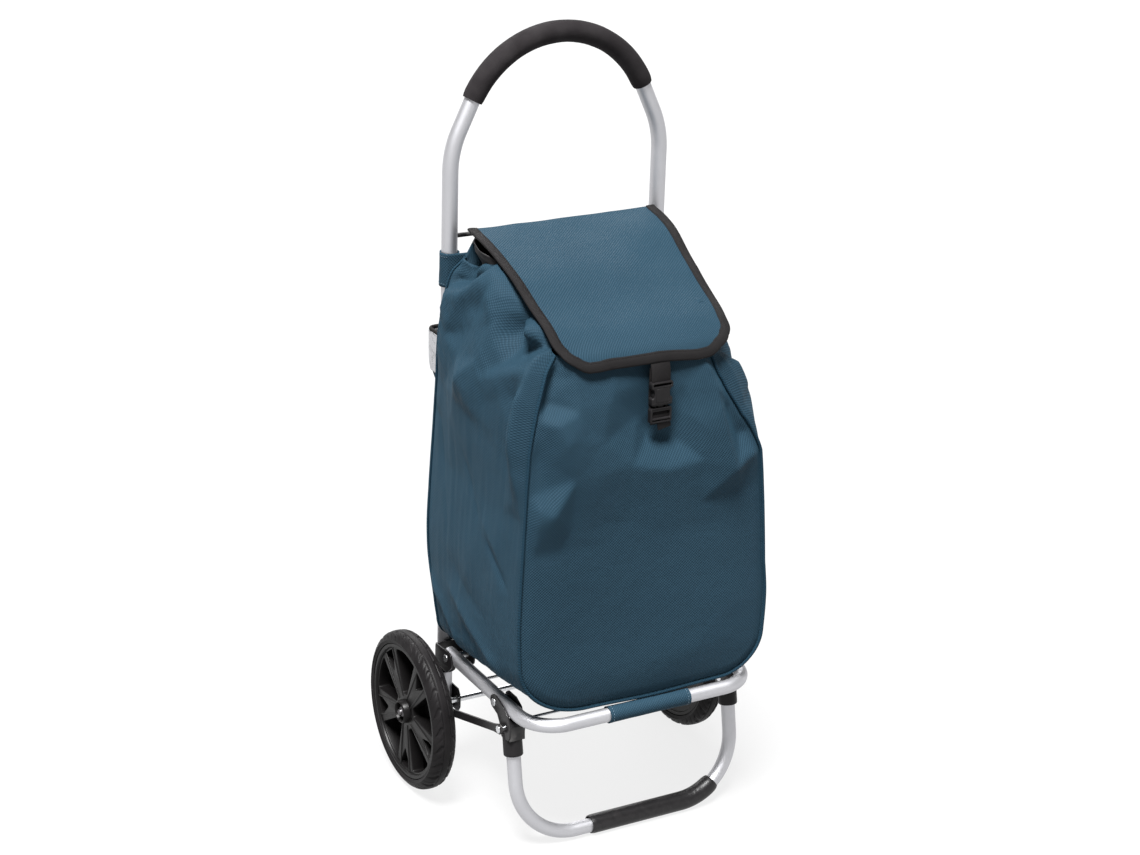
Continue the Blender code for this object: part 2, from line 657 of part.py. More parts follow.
def loft(name, rings, material, close_bottom=True):
    """Skin a stack of equal rings; the lowest can be closed by a floor."""
    bm = bmesh.new()
    rows = [[bm.verts.new(point) for point in ring_points] for ring_points in rings]
    count = len(rows[0])
    for low, high in zip(rows, rows[1:]):
        for i in range(count):
            j = (i + 1) % count
            bm.faces.new((low[i], low[j], high[j], high[i]))
    if close_bottom:
        bm.faces.new(list(reversed(rows[0])))
    return smooth(new_mesh(name, bm, material), 60)


def bag_level(height):
    """Half width and front of the bag at a height, read between its levels."""
    for lower, upper in zip(BAG_LEVELS, BAG_LEVELS[1:]):
        if lower[0] <= height <= upper[0]:
            share = (height - lower[0]) / (upper[0] - lower[0])
            return tuple(lower[k] + (upper[k] - lower[k]) * share for k in (2, 3))
    return BAG_LEVELS[-1][2], BAG_LEVELS[-1][3]


def make_bag():
    """Fabric bag with its floor board, front piping, drawstring collar and rear pocket."""
    rings = [bag_ring(*level, BAG_CORNER) for level in BAG_LEVELS]
    shell = loft("bag_shell", rings, BLUE_CLOTH)
    for face in shell.data.polygons:
        face.use_smooth = True
    thicken(shell, CLOTH)
    board = block("base_board", (-0.135, -0.222, BAG_BOTTOM + CLOTH + GAP),
                  (0.135, -0.020, BAG_BOTTOM + CLOTH + 0.0028), BOARD)
    top_front, top_rear, half, front = BAG_LEVELS[-1]
    inset = CLOTH + 0.0035
    collar_rings = []
    for lift, squeeze in ((-0.022, 0.0), (-0.004, 0.002), (0.006, 0.006)):
        collar_rings.append(bag_ring(top_front + lift, top_rear + lift, half - inset - squeeze,
                                     front + inset + squeeze, BAG_CORNER, BAG_REAR - inset))
    collar = loft("drawstring_collar", collar_rings, BLACK_CLOTH, close_bottom=False)
    thicken(collar, 0.0010)
    return [shell, board, make_piping(), collar, *make_pocket(), *make_loops()]


def front_surface(x, z):
    """The bag's front surface at a width and a height, rounded edges included."""
    half, front = bag_level(z)
    beyond = max(0.0, abs(x) - (half - BAG_CORNER))
    return Vector((x, front + BAG_CORNER - math.sqrt(BAG_CORNER ** 2 - beyond ** 2), z))


def above_front(x, z, lift):
    """A point standing off the bag's front surface."""
    step = 0.002
    along_x = front_surface(x + step, z) - front_surface(x - step, z)
    along_z = front_surface(x, z + step) - front_surface(x, z - step)
    return front_surface(x, z) + along_x.cross(along_z).normalized() * lift


def make_piping():
    """Round piping around the bag's front panel."""
    radius, bottom, top, corner = 0.0017, 0.216, 0.600, 0.075
    heights = [top - (top - bottom - corner) * step / 7 for step in range(8)]
    column = [(bag_level(z)[0] - BAG_CORNER / 2, z) for z in heights]
    centre_x = column[-1][0] - corner
    turn = [(centre_x + corner * math.cos(a), bottom + corner - corner * math.sin(a))
            for a in (math.radians(9 * step) for step in range(1, 11))]
    right = column + turn
    left = [(-x, z) for x, z in right]
    side = column[0][0]
    head = [(share * side, top) for share in (0.95, 0.90, 0.85, -0.85, -0.90, -0.95)]
    path = [above_front(x, z, radius + 0.0011) for x, z in left + right[::-1] + head]
    return sweep("front_piping", path, radius, BLUE_CLOTH, resolution=1, cyclic=True)


def make_pocket():
    """Insulated rear pocket between the uprights, open at the top, and its foil lining."""
    pieces = []
    skins = (("rear_pocket", 0.0, 0.0016, BLUE_CLOTH), ("pocket_lining", 0.0036, 0.0008, FOIL))
    for name, inset, thickness, material in skins:
        front = BAG_REAR + 0.0022 + inset
        rings = []
        levels = ((POCKET_BOTTOM + inset, 0.018), (POCKET_BOTTOM + 0.03, 0.050),
                  (0.50, 0.068), (POCKET_TOP, 0.076))
        for z, rear in levels:
            rings.append(bag_ring(z, z, POCKET_HALF - inset, front, 0.0060, rear - inset))
        pocket = loft(name, rings, material)
        pieces.append(thicken(pocket, thickness))
    return pieces


def make_loops():
    """Fabric loops that tie the bag's upper corners to the uprights."""
    loops = []
    for word, side in SIDES.items():
        bottom, top = 0.672, 0.715
        loop = upright_sleeve(f"bag_loop_{word}", side, bottom, top, 0.0122, BLUE_CLOTH)
        low, high = ordered(side, 0.1260, 0.1375)
        tab = block(f"bag_loop_{word}_tab", (low, 0.0020, bottom + 0.003), (high, 0.0100, top - 0.003), None)
        bore = loop.modifiers[0].object
        loop.modifiers.clear()
        combine(loop, [tab], 'UNION')
        combine(loop, [bore])
        loops.append(loop)
    return loops


# ---------------------------------------------------------------- flap and buckle
def flap_length():
    """Length of the flap's side view."""
    points = [Vector(p) for p in FLAP_PROFILE]
    return sum((b - a).length for a, b in zip(points, points[1:]))


def flap_point(share, across):
    """A point of the flap: share runs from hinge to free edge, across from -1 to 1."""
    points = [Vector(p) for p in FLAP_PROFILE]
    total = flap_length()
    distance = share * total
    width = FLAP_HALF
    past = distance - (total - FLAP_CORNER)
    if past > 0:
        width -= FLAP_CORNER - math.sqrt(max(FLAP_CORNER ** 2 - past ** 2, 0.0))
    for a, b in zip(points, points[1:]):
        step = (b - a).length
        if distance <= step + 1e-9:
            spot = a + (b - a) * (distance / step)
            break
        distance -= step
    return Vector((across * width, spot.x, spot.y))


def make_flap():
    """Top flap with its bound edge and the webbing that carries the buckle's socket."""
    rows = [0, 0.22, 0.45, 0.67, 0.78, 0.86, 0.92, 0.97, 1.0]
    columns = [-1, -0.5, 0, 0.5, 1]
    bm = bmesh.new()
    grid = [[bm.verts.new(flap_point(share, across)) for across in columns] for share in rows]
    for low, high in zip(grid, grid[1:]):
        for i in range(len(columns) - 1):
            bm.faces.new((low[i], low[i + 1], high[i + 1], high[i]))
    panel = thicken(smooth(new_mesh("flap_panel", bm, BLUE_CLOTH), 60), CLOTH, 0.0)
    edge = [flap_point(share, -1) for share in rows]
    edge += [flap_point(1.0, across) for across in (-0.5, 0, 0.5)]
    edge += [flap_point(share, 1) for share in reversed(rows)]
    centre = Vector((0.0, -0.11, 0.70))
    binding_path = [point + outward(point, centre) * 0.0032 for point in edge]
    binding = sweep("flap_binding", binding_path, 0.0017, BLACK_CLOTH, resolution=1)
    half = WEBBING_W / 2
    strap = block("flap_strap", (-half, BUCKLE_Y - 0.0006, SOCKET_TOP + GAP),
                  (half, BUCKLE_Y + 0.0006, 0.6310), BLACK_CLOTH)
    return [panel, binding, strap]


def outward(point, centre):
    """Unit direction from the flap's middle to its edge, along the surface."""
    away = point - centre
    side = Vector((math.copysign(1.0, point.x) if abs(point.x) > 0.02 else 0.0, 0.0, 0.0))
    along = Vector((0.0, -0.3, -0.95)) if away.y < -0.10 else Vector((0.0, 0.0, 0.0))
    narrow = (FLAP_HALF - abs(point.x)) / FLAP_CORNER
    mix = side * max(0.0, 1.0 - narrow) + along * min(1.0, max(0.0, narrow))
    return mix.normalized() if mix.length > 1e-6 else side


def make_buckle():
    """Side-release buckle: a socket, and a plug with a ladder-lock and two sprung prongs."""
    back, face = BUCKLE_Y + 0.0045, BUCKLE_Y - 0.0045
    socket = block("buckle_socket", (-BUCKLE_HALF, face, SOCKET_BOTTOM),
                   (BUCKLE_HALF, back, SOCKET_TOP), BLACK_PLASTIC, 0.0012)
    throat = block("socket_throat", (-0.0120, BUCKLE_Y - 0.0028, SOCKET_BOTTOM - 0.01),
                   (0.0120, BUCKLE_Y + 0.0028, SOCKET_TOP - 0.0050), None)
    window = block("socket_windows", (-0.03, BUCKLE_Y - 0.0022, 0.5920), (0.03, BUCKLE_Y + 0.0022, 0.6020),
                   None)
    combine(socket, [throat, window])
    plug = block("buckle_plug", (-BUCKLE_HALF, face + 0.0015, PLUG_BOTTOM),
                 (BUCKLE_HALF, back - 0.0008, SOCKET_BOTTOM - 0.0035), BLACK_PLASTIC, 0.0010)
    slots = [block(f"plug_slot_{n}", (-WEBBING_W / 2 - GAP, -0.30, z), (WEBBING_W / 2 + GAP, -0.20, z + 0.0030),
                   None) for n, z in enumerate((0.5662, 0.5730))]
    tongue = block("plug_tongue", (-0.0036, BUCKLE_Y - 0.0018, SOCKET_BOTTOM - 0.006),
                   (0.0036, BUCKLE_Y + 0.0018, 0.6030), None)
    combine(plug, slots)
    combine(plug, [tongue], 'UNION')
    prongs = []
    for word, side in SIDES.items():
        low, high = ordered(side, PRONG_X - 0.0010, PRONG_X + 0.0010)
        arm = block(f"buckle_prong_{word}", (low, BUCKLE_Y - 0.0016, SOCKET_BOTTOM - 0.0032),
                    (high, BUCKLE_Y + 0.0016, 0.6030), BLACK_PLASTIC)
        low, high = ordered(side, PRONG_X, PRONG_X + 0.0032)
        barb = block(f"prong_{word}_barb", (low, BUCKLE_Y - 0.0015, 0.5940), (high, BUCKLE_Y + 0.0015, 0.6000),
                     None)
        prongs.append(combine(arm, [barb], 'UNION'))
    strap = block("lower_strap", (-WEBBING_W / 2, BUCKLE_Y + 0.0052, 0.5560),
                  (WEBBING_W / 2, BUCKLE_Y + 0.0064, 0.6310), BLACK_CLOTH)
    return socket, plug, strap, prongs


# ---------------------------------------------------------------- assembly
def assemble():
    """Build every piece and hang the moving ones from empties on their joints' axes."""
    make_handle()
    make_axle()
    make_bag()
    platform_axis = joint_empty("platform_axis", (0.0, DECK_PIVOT_Y, DECK_Z))
    leg_axis = joint_empty("leg_axis", (0.0, LEG_PIVOT_Y, DECK_Z), platform_axis)
    flap_axis = joint_empty("flap_axis", FLAP_HINGE)
    plug_axis = joint_empty("plug_axis", (0.0, BUCKLE_Y, SOCKET_BOTTOM), flap_axis)
    for piece in make_platform():
        attach(piece, platform_axis)
    for piece in make_leg():
        attach(piece, leg_axis)
    for piece in make_flap():
        attach(piece, flap_axis)
    socket, plug, strap, prongs = make_buckle()
    attach(socket, flap_axis)
    for piece in (plug, strap):
        attach(piece, plug_axis)
    for prong, (word, side) in zip(prongs, SIDES.items()):
        root = (side * PRONG_X, BUCKLE_Y, SOCKET_BOTTOM - 0.0032)
        attach(prong, joint_empty(f"prong_axis_{word}", root, plug_axis))
    for word, side in SIDES.items():
        make_brackets(word, side)
        wheel_axis = joint_empty(f"wheel_axis_{word}", (side * WHEEL_X, 0.0, AXLE_Z))
        for piece in make_wheel(word, side):
            attach(piece, wheel_axis)
        for piece in make_leg_fittings(word, side):
            attach(piece, leg_axis)
        stay_axis = joint_empty(f"stay_axis_{word}", (side * STAY_X, 0.0, AXLE_Z))
        for piece in make_stay(word, side):
            attach(piece, stay_axis)


def move_back():
    """Hang everything, helper bodies included, from one root set at the axle."""
    root = joint_empty("root", (0.0, AXLE_Y, 0.0))
    for obj in list(bpy.data.objects):
        if obj.parent is None and obj is not root:
            obj.parent = root


assemble()
move_back()
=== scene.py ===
"""Looks of the folding shopping trolley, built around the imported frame.

Lengths are in metres.  Shapes are laid out from the wheel axle: at(x, y, z) is a point whose
y is measured from the axle, with the front of the bag towards -Y.
"""
import json
from math import cos, dist, exp, hypot, pi, radians, sin, sqrt, tan

import bmesh
import bpy
import numpy as np
from mathutils import Matrix, Vector, geometry, kdtree, noise
from mathutils.bvhtree import BVHTree


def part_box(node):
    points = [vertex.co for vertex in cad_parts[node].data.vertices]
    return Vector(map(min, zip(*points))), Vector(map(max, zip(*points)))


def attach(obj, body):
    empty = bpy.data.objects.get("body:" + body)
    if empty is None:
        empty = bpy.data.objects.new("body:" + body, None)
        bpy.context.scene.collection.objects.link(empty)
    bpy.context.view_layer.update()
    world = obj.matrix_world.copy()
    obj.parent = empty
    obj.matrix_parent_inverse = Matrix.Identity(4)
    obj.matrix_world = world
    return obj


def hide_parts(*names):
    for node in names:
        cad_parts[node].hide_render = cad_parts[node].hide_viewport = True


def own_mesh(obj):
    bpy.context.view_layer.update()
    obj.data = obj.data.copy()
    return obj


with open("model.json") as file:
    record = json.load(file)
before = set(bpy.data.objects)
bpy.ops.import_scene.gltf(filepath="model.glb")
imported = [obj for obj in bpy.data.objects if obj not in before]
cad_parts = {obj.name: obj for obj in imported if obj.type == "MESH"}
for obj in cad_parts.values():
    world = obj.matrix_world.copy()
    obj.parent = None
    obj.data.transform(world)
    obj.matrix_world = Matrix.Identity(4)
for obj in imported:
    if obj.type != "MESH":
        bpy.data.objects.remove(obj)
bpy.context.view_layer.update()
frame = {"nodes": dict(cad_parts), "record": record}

SIDES = {"left": -1, "right": 1}
BODY_OF = {node: body for body, nodes in frame["record"]["behaviour"]["bodies"].items() for node in nodes}


def middle(node):
    """Centre of a CAD node's box."""
    low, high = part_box(node)
    return (low + high) / 2


AXLE = middle("axle")
AXLE_Y, AXLE_Z = AXLE.y, AXLE.z


def at(x, y, z):
    """A point laid out from the axle."""
    return Vector((x, y + AXLE_Y, z))


def metres(table):
    """A table in millimetres, turned into metres."""
    return tuple(metres(item) if isinstance(item, tuple) else item / 1000 for item in table)


def add_object(name, data):
    """Put a new object into the scene."""
    obj = bpy.data.objects.new(name, data)
    bpy.context.scene.collection.objects.link(obj)
    return obj


def evaluated_mesh(obj):
    """The mesh of an object with its modifiers, or of a curve, as a new mesh."""
    bpy.context.view_layer.update()
    return bpy.data.meshes.new_from_object(obj.evaluated_get(bpy.context.evaluated_depsgraph_get()))


# ---------------------------------------------------------------- camera, light and floor
def set_camera():
    """The photograph's point of view, found by fitting the trolley's known shapes."""
    azimuth, elevation, roll = (radians(a) for a in (29.553, 21.282, 1.764))
    sensor, lens, position = 36.0, 77.42, at(-1.4302, -2.5600, 1.6079)
    ahead = Vector((sin(azimuth) * cos(elevation), cos(azimuth) * cos(elevation), -sin(elevation)))
    right = Vector((cos(azimuth), -sin(azimuth), 0.0))
    up = right.cross(ahead)
    level = right * cos(roll) + up * sin(roll)
    upright = up * cos(roll) - right * sin(roll)
    data = bpy.data.cameras.new("camera")
    data.sensor_fit = 'HORIZONTAL'
    data.sensor_width = sensor
    data.lens = lens
    data.clip_start, data.clip_end = 0.05, 100.0
    camera = add_object("camera", data)
    matrix = Matrix((level, upright, -ahead)).transposed().to_4x4()
    matrix.translation = position
    camera.matrix_world = matrix
    bpy.context.scene.camera = camera


def sun(name, strength, degrees, direction):
    """A white light from far away, some degrees wide, that shines along a direction."""
    data = bpy.data.lights.new(name, 'SUN')
    data.energy = strength
    data.angle = radians(degrees)
    add_object(name, data).rotation_euler = Vector(direction).to_track_quat('-Z', 'Y').to_euler()


def turns(count):
    """Angles spread evenly over one turn."""
    return [2 * pi * k / count for k in range(count)]


def set_studio():
    """Dim white surroundings, two suns, and a glowing floor whose far rim curves up as a backdrop."""
    world = bpy.data.worlds.new("studio")
    world.use_nodes = True
    surroundings = world.node_tree.nodes["Background"].inputs
    white, dim = (1.0, 1.0, 1.0, 1.0), 0.14
    surroundings["Color"].default_value = white
    surroundings["Strength"].default_value = dim
    bpy.context.scene.world = world
    bpy.context.scene.view_settings.view_transform = 'Standard'
    sun("overhead", 12.8, 20.0, (0.29, 0.29, -1.0))
    sun("rear", 2.6, 45.0, (-0.25, -0.90, -0.60))
    radius, rise, top, sides = 8.0, 2.0, 4.0, 64
    profile = [(radius + rise * sin(a), rise - rise * cos(a))
               for a in (radians(15 * k) for k in range(7))] + [(radius + rise, top)]
    points = [(r * cos(a), r * sin(a), z) for r, z in profile for a in turns(sides)]
    quads = [(j * sides + k, j * sides + (k + 1) % sides, (j + 1) * sides + (k + 1) % sides,
              (j + 1) * sides + k) for j in range(len(profile) - 1) for k in range(sides)]
    mesh = bpy.data.meshes.new("floor")
    mesh.from_pydata(points, [], [tuple(range(sides))] + quads)
    for face in mesh.polygons:
        face.use_smooth = face.index > 0
    glow = surface("floor_white", (0.040, 0.040, 0.040), 0.95, Emission_Color=white,
                   Emission_Strength=0.82)
    mesh.materials.append(glow.material)
    add_object("floor", mesh)


# ---------------------------------------------------------------- materials
class Look:
    """A Principled material with short ways to add nodes to it."""

    def __init__(self, name, colour, roughness, metallic=0.0, **sockets):
        self.material = bpy.data.materials.new(name)
        self.material.use_nodes = True
        self.tree = self.material.node_tree
        self.shader = self.tree.nodes["Principled BSDF"]
        self.colour = (*colour, 1.0)
        self.shader.inputs["Base Color"].default_value = self.colour
        self.shader.inputs["Roughness"].default_value = roughness
        self.shader.inputs["Metallic"].default_value = metallic
        for socket, value in sockets.items():
            self.shader.inputs[socket.replace("_", " ")].default_value = value

    def add(self, kind, inputs=(), **settings):
        """Add a node; its inputs are values or other nodes' outputs."""
        node = self.tree.nodes.new(kind)
        for key, value in settings.items():
            setattr(node, key, value)
        for key, value in dict(inputs).items():
            if isinstance(value, bpy.types.NodeSocket):
                self.tree.links.new(value, node.inputs[key])
            else:
                node.inputs[key].default_value = value
        return node

    def coordinates(self, kind="Object", scale=(1.0, 1.0, 1.0)):
        """Scaled texture coordinates."""
        source = self.add("ShaderNodeTexCoord").outputs[kind]
        return self.add("ShaderNodeMapping", {"Vector": source, "Scale": scale}).outputs["Vector"]

    def noise(self, scale, detail=3.0, distortion=0.0, stretch=(1.0, 1.0, 1.0)):
        """Fractal noise as a 0-1 value."""
        where = self.coordinates(scale=stretch)
        return self.add("ShaderNodeTexNoise", {"Vector": where, "Scale": scale, "Detail": detail,
                                               "Distortion": distortion}).outputs["Fac"]

    def cells(self, scale, feature):
        """Distance to the middle ('F1') or to the edge of irregular cells."""
        return self.add("ShaderNodeTexVoronoi", {"Vector": self.coordinates(), "Scale": scale},
                        feature=feature).outputs["Distance"]

    def span(self, value, low, high, out_low=0.0, out_high=1.0):
        """Remap a value, clamped."""
        return self.add("ShaderNodeMapRange", {"Value": value, "From Min": low, "From Max": high,
                                               "To Min": out_low, "To Max": out_high}).outputs["Result"]

    def maths(self, operation, first, second=0.0):
        """One arithmetic step."""
        return self.add("ShaderNodeMath", {0: first, 1: second}, operation=operation).outputs[0]

    def tint(self, mask, colour):
        """Blend another colour over the present one where the mask is bright."""
        link = self.shader.inputs["Base Color"].links
        below = link[0].from_socket if link else self.colour
        # Inputs 0, 6 and 7 of a colour mix are its factor and its two colours.
        mix = self.add("ShaderNodeMix", {0: mask, 6: below, 7: (*colour, 1.0)}, data_type='RGBA')
        self.tree.links.new(mix.outputs[2], self.shader.inputs["Base Color"])
        return self

    def mottle(self, scale, detail, low, high, most, colour):
        """Blend another colour in over patches of noise."""
        return self.tint(self.span(self.noise(scale, detail), low, high, 0.0, most), colour)

    def rough(self, mask, low, high):
        """Let the roughness follow a mask."""
        self.tree.links.new(self.span(mask, 0.0, 1.0, low, high), self.shader.inputs["Roughness"])
        return self

    def bump(self, height, distance, strength=1.0):
        """Add relief of a depth in metres."""
        inputs = {"Height": height, "Distance": distance, "Strength": strength}
        link = self.shader.inputs["Normal"].links
        if link:
            inputs["Normal"] = link[0].from_socket
        node = self.add("ShaderNodeBump", inputs)
        self.tree.links.new(node.outputs["Normal"], self.shader.inputs["Normal"])
        return self


def surface(name, colour, roughness, metallic=0.0, patches=None,
            grain=((40.0, 3.0, 0.0, 0.0002, 0.3),), shine=None, **sockets):
    """A material with patches of another colour, layers of fine relief and uneven roughness.

    patches: what Look.mottle takes.  grain: the noise's scale, detail and distortion and the
    relief's depth and strength, for each layer.  shine: the noise's scale and detail and the
    lowest and highest roughness.
    """
    look = Look(name, colour, roughness, metallic, **sockets)
    if patches:
        look.mottle(*patches)
    for scale, detail, distortion, distance, strength in grain:
        look.bump(look.noise(scale, detail, distortion), distance, strength)
    if shine:
        look.rough(look.noise(*shine[:2]), *shine[2:])
    return look


def weave(look, period, depth, twill=True):
    """Woven threads, laid out by the cloth's own measure."""
    where = look.add("ShaderNodeSeparateXYZ", {"Vector": look.coordinates("UV")}).outputs
    turn = 2.0 * pi / period
    across = look.maths('SINE', look.maths('MULTIPLY', where["X"], turn))
    along = look.maths('SINE', look.maths('MULTIPLY', where["Y"], turn))
    threads = look.maths('MULTIPLY', across, along)
    if twill:
        slant = look.maths('MULTIPLY', look.maths('ADD', where["X"], where["Y"]), turn)
        threads = look.maths('ADD', threads, look.maths('MULTIPLY', look.maths('SINE', slant), 0.5))
    look.bump(threads, depth)
    return look.span(threads, -1.0, 1.0)


def cloth_look(name, colour, deep):
    """Coated polyester: fine weave, soft sheen, faint creases and shade variation."""
    look = Look(name, colour, 0.50, Specular_IOR_Level=0.022, Sheen_Weight=0.04, Sheen_Roughness=0.45,
                Sheen_Tint=(0.10, 0.32, 0.50, 1.0))
    look.mottle(5.0, 5.0, 0.35, 0.7, 0.45, deep)
    threads = weave(look, 0.0037, 0.00020)
    look.tint(look.span(threads, 0.35, 1.0, 0.0, 0.42), tuple(c * 1.9 for c in colour))
    look.bump(look.span(look.cells(13.0, 'DISTANCE_TO_EDGE'), 0.0, 0.08), 0.0003, 0.25)
    look.bump(look.noise(26.0, 6.0, 0.8), 0.0026, 0.45)
    return look.rough(look.noise(9.0, 4.0), 0.40, 0.56).material


def webbing_look():
    """Ribbed black webbing and tape."""
    look = Look("webbing", (0.0045, 0.0040, 0.0043), 0.70, Specular_IOR_Level=0.10)
    threads = weave(look, 0.0016, 0.00016, twill=False)
    look.tint(look.span(threads, 0.2, 1.0, 0.0, 0.5), (0.015, 0.014, 0.014))
    return look.mottle(30.0, 3.0, 0.4, 0.7, 0.3, (0.012, 0.011, 0.011)).material


def aluminium_look():
    """Satin anodised tube with faint drawing lines."""
    look = surface("satin_aluminium", (0.49, 0.49, 0.51), 0.52, 1.0,
                   patches=(12.0, 4.0, 0.45, 0.75, 0.4, (0.42, 0.42, 0.44)),
                   grain=((300.0, 2.0, 0.0, 0.00002, 1.0),))
    return look.rough(look.noise(1.0, stretch=(900.0, 900.0, 9.0)), 0.48, 0.60).material


def enamel_look():
    """Black enamel on stamped steel, paler along worn edges."""
    look = surface("black_enamel", (0.006, 0.0055, 0.006), 0.36,
                   grain=((220.0, 2.0, 0.0, 0.00005, 1.0),), shine=(30.0, 3.0, 0.26, 0.42),
                   Specular_IOR_Level=0.3, Coat_Weight=0.1, Coat_Roughness=0.25)
    edges = look.add("ShaderNodeNewGeometry").outputs["Pointiness"]
    wear = look.maths('MULTIPLY', look.span(edges, 0.53, 0.60), look.span(look.noise(90.0), 0.45, 0.6))
    return look.tint(look.maths('MULTIPLY', wear, 0.5), (0.08, 0.077, 0.075)).material


def moulded_look(name, colour, roughness, pale):
    """Moulded black plastic with a fine texture and dusty highlights."""
    return surface(name, colour, roughness, patches=(25.0, 4.0, 0.45, 0.75, 0.5, pale),
                   grain=((1400.0, 2.0, 0.0, 0.00005, 1.0), (70.0, 2.0, 0.0, 0.00015, 0.4)),
                   shine=(35.0, 3.0, roughness - 0.07, roughness + 0.10),
                   Specular_IOR_Level=0.13).material


def foam_look():
    """Closed-cell foam: dull, pitted and slightly mottled."""
    look = Look("grip_foam", (0.0105, 0.0090, 0.0098), 0.90, Specular_IOR_Level=0.12)
    look.bump(look.cells(900.0, 'F1'), 0.0002)
    look.bump(look.noise(110.0, 4.0), 0.0005, 0.5)
    return look.mottle(35.0, 5.0, 0.42, 0.72, 0.7, (0.020, 0.018, 0.019)).material


def foot_look():
    """Mottled rubber of the foot grip."""
    look = Look("foot_rubber", (0.0060, 0.0055, 0.0060), 0.40, Specular_IOR_Level=0.30)
    patches = look.span(look.noise(55.0, 4.0, 1.5), 0.45, 0.60)
    look.tint(look.maths('MULTIPLY', patches, 0.5), (0.012, 0.011, 0.0115))
    look.bump(patches, 0.00012)
    look.bump(look.noise(400.0, 2.0), 0.0001)
    return look.material


def foil_look():
    """Crinkled metallised film."""
    look = Look("foil", (0.50, 0.50, 0.52), 0.30, 1.0)
    look.bump(look.span(look.cells(70.0, 'DISTANCE_TO_EDGE'), 0.0, 0.25), 0.0012)
    look.bump(look.noise(160.0, 3.0), 0.0007)
    return look.rough(look.noise(50.0), 0.18, 0.38).material


BLUE, BLUE_DEEP = (0.0130, 0.0290, 0.0428), (0.0080, 0.0186, 0.0285)
CLOTH = cloth_look("blue_cloth", BLUE, BLUE_DEEP)
PIPING = cloth_look("blue_piping", (0.0085, 0.022, 0.034), (0.006, 0.016, 0.026))
THREAD = surface("pale_thread", (0.08, 0.125, 0.165), 0.6).material
WEBBING = webbing_look()
# Thin crumpled black nylon.
NYLON = surface("nylon", (0.006, 0.0055, 0.006), 0.50,
                patches=(18.0, 4.0, 0.4, 0.7, 0.6, (0.016, 0.015, 0.016)),
                grain=((60.0, 5.0, 1.0, 0.0025, 0.6),), Specular_IOR_Level=0.18).material
ALUMINIUM = aluminium_look()
ENAMEL = enamel_look()
# Bright zinc-plated steel.
ZINC = surface("bright_zinc", (0.72, 0.73, 0.75), 0.24, 1.0,
               patches=(60.0, 3.0, 0.45, 0.7, 0.5, (0.55, 0.55, 0.56)), grain=(),
               shine=(120.0, 4.0, 0.18, 0.36)).material
NUT = surface("dull_nut", (0.11, 0.105, 0.11), 0.42, 1.0).material
PLASTIC = moulded_look("black_plastic", (0.0075, 0.0070, 0.0075), 0.42, (0.014, 0.013, 0.0135))
RIM_PLASTIC = moulded_look("rim_plastic", (0.0034, 0.0031, 0.0032), 0.36, (0.0065, 0.0062, 0.0062))
FOAM = foam_look()
# Tyre rubber, dusty in patches.
RUBBER = surface("tyre_rubber", (0.0052, 0.0047, 0.0050), 0.50,
                 patches=(22.0, 5.0, 0.40, 0.70, 0.6, (0.012, 0.011, 0.0115)),
                 grain=((900.0, 2.0, 0.0, 0.00005, 1.0),), shine=(40.0, 3.0, 0.38, 0.58),
                 Specular_IOR_Level=0.08).material
FOOT_RUBBER = foot_look()
FOIL = foil_look()
BOARD = moulded_look("board", (0.03, 0.03, 0.03), 0.6, (0.045, 0.045, 0.045))


# ---------------------------------------------------------------- mesh tools
def new_object(name, bm, material, sharp=None):
    """Turn a bmesh into a smooth object."""
    bmesh.ops.recalc_face_normals(bm, faces=bm.faces)
    mesh = bpy.data.meshes.new(name)
    bm.to_mesh(mesh)
    bm.free()
    obj = add_object(name, mesh)
    mesh.materials.append(material)
    mesh.shade_smooth()
    if sharp:
        mesh.set_sharp_from_angle(angle=radians(sharp))
    return obj


def place(obj, body, slot, *nodes):
    """Ride on a body and stand for CAD nodes, which are hidden; the slot argument is not used."""
    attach(obj, body)
    if nodes:
        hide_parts(*nodes)
    return obj


def grid_mesh(name, rows, material, close_u=False, close_v=False, caps=False, sharp=None):
    """Skin a grid of points; its UVs are distances along and across it in metres."""
    bm = bmesh.new()
    layer = bm.loops.layers.uv.new("measure")
    verts = [[bm.verts.new(point) for point in row] for row in rows]
    count_v, count_u = len(rows), len(rows[0])
    u, v = measure(rows)
    for j in range(count_v if close_v else count_v - 1):
        for i in range(count_u if close_u else count_u - 1):
            k, m = (i + 1) % count_u, (j + 1) % count_v
            face = bm.faces.new((verts[j][i], verts[j][k], verts[m][k], verts[m][i]))
            for loop, (du, dv) in zip(face.loops, ((0, 0), (1, 0), (1, 1), (0, 1))):
                loop[layer].uv = (u[i + du], v[j + dv])
    if caps:
        bm.faces.new(verts[0])
        bm.faces.new(list(reversed(verts[-1])))
    return new_object(name, bm, material, sharp)


def measure(rows):
    """Distances across and along a grid of points, with one more each way for a closed grid."""
    points = np.array([[tuple(p) for p in row] for row in rows])
    across = np.linalg.norm(np.diff(points, axis=1), axis=2).mean(axis=0)
    along = np.linalg.norm(np.diff(points, axis=0), axis=2).mean(axis=1)
    u = np.concatenate([[0.0], np.cumsum(across), [across.sum() + across.mean()]])
    v = np.concatenate([[0.0], np.cumsum(along), [along.sum() + along.mean()]])
    return u, v


def sheet(name, rows, material, thickness, **closed):
    """Cloth or metal of some thickness, halfway to either side of a grid of points."""
    obj = grid_mesh(name, rows, material, **closed)
    modifier = obj.modifiers.new("thickness", 'SOLIDIFY')
    modifier.thickness = thickness
    modifier.offset = 0.0
    solid = evaluated_mesh(obj)
    obj.modifiers.clear()
    obj.data = solid
    return obj


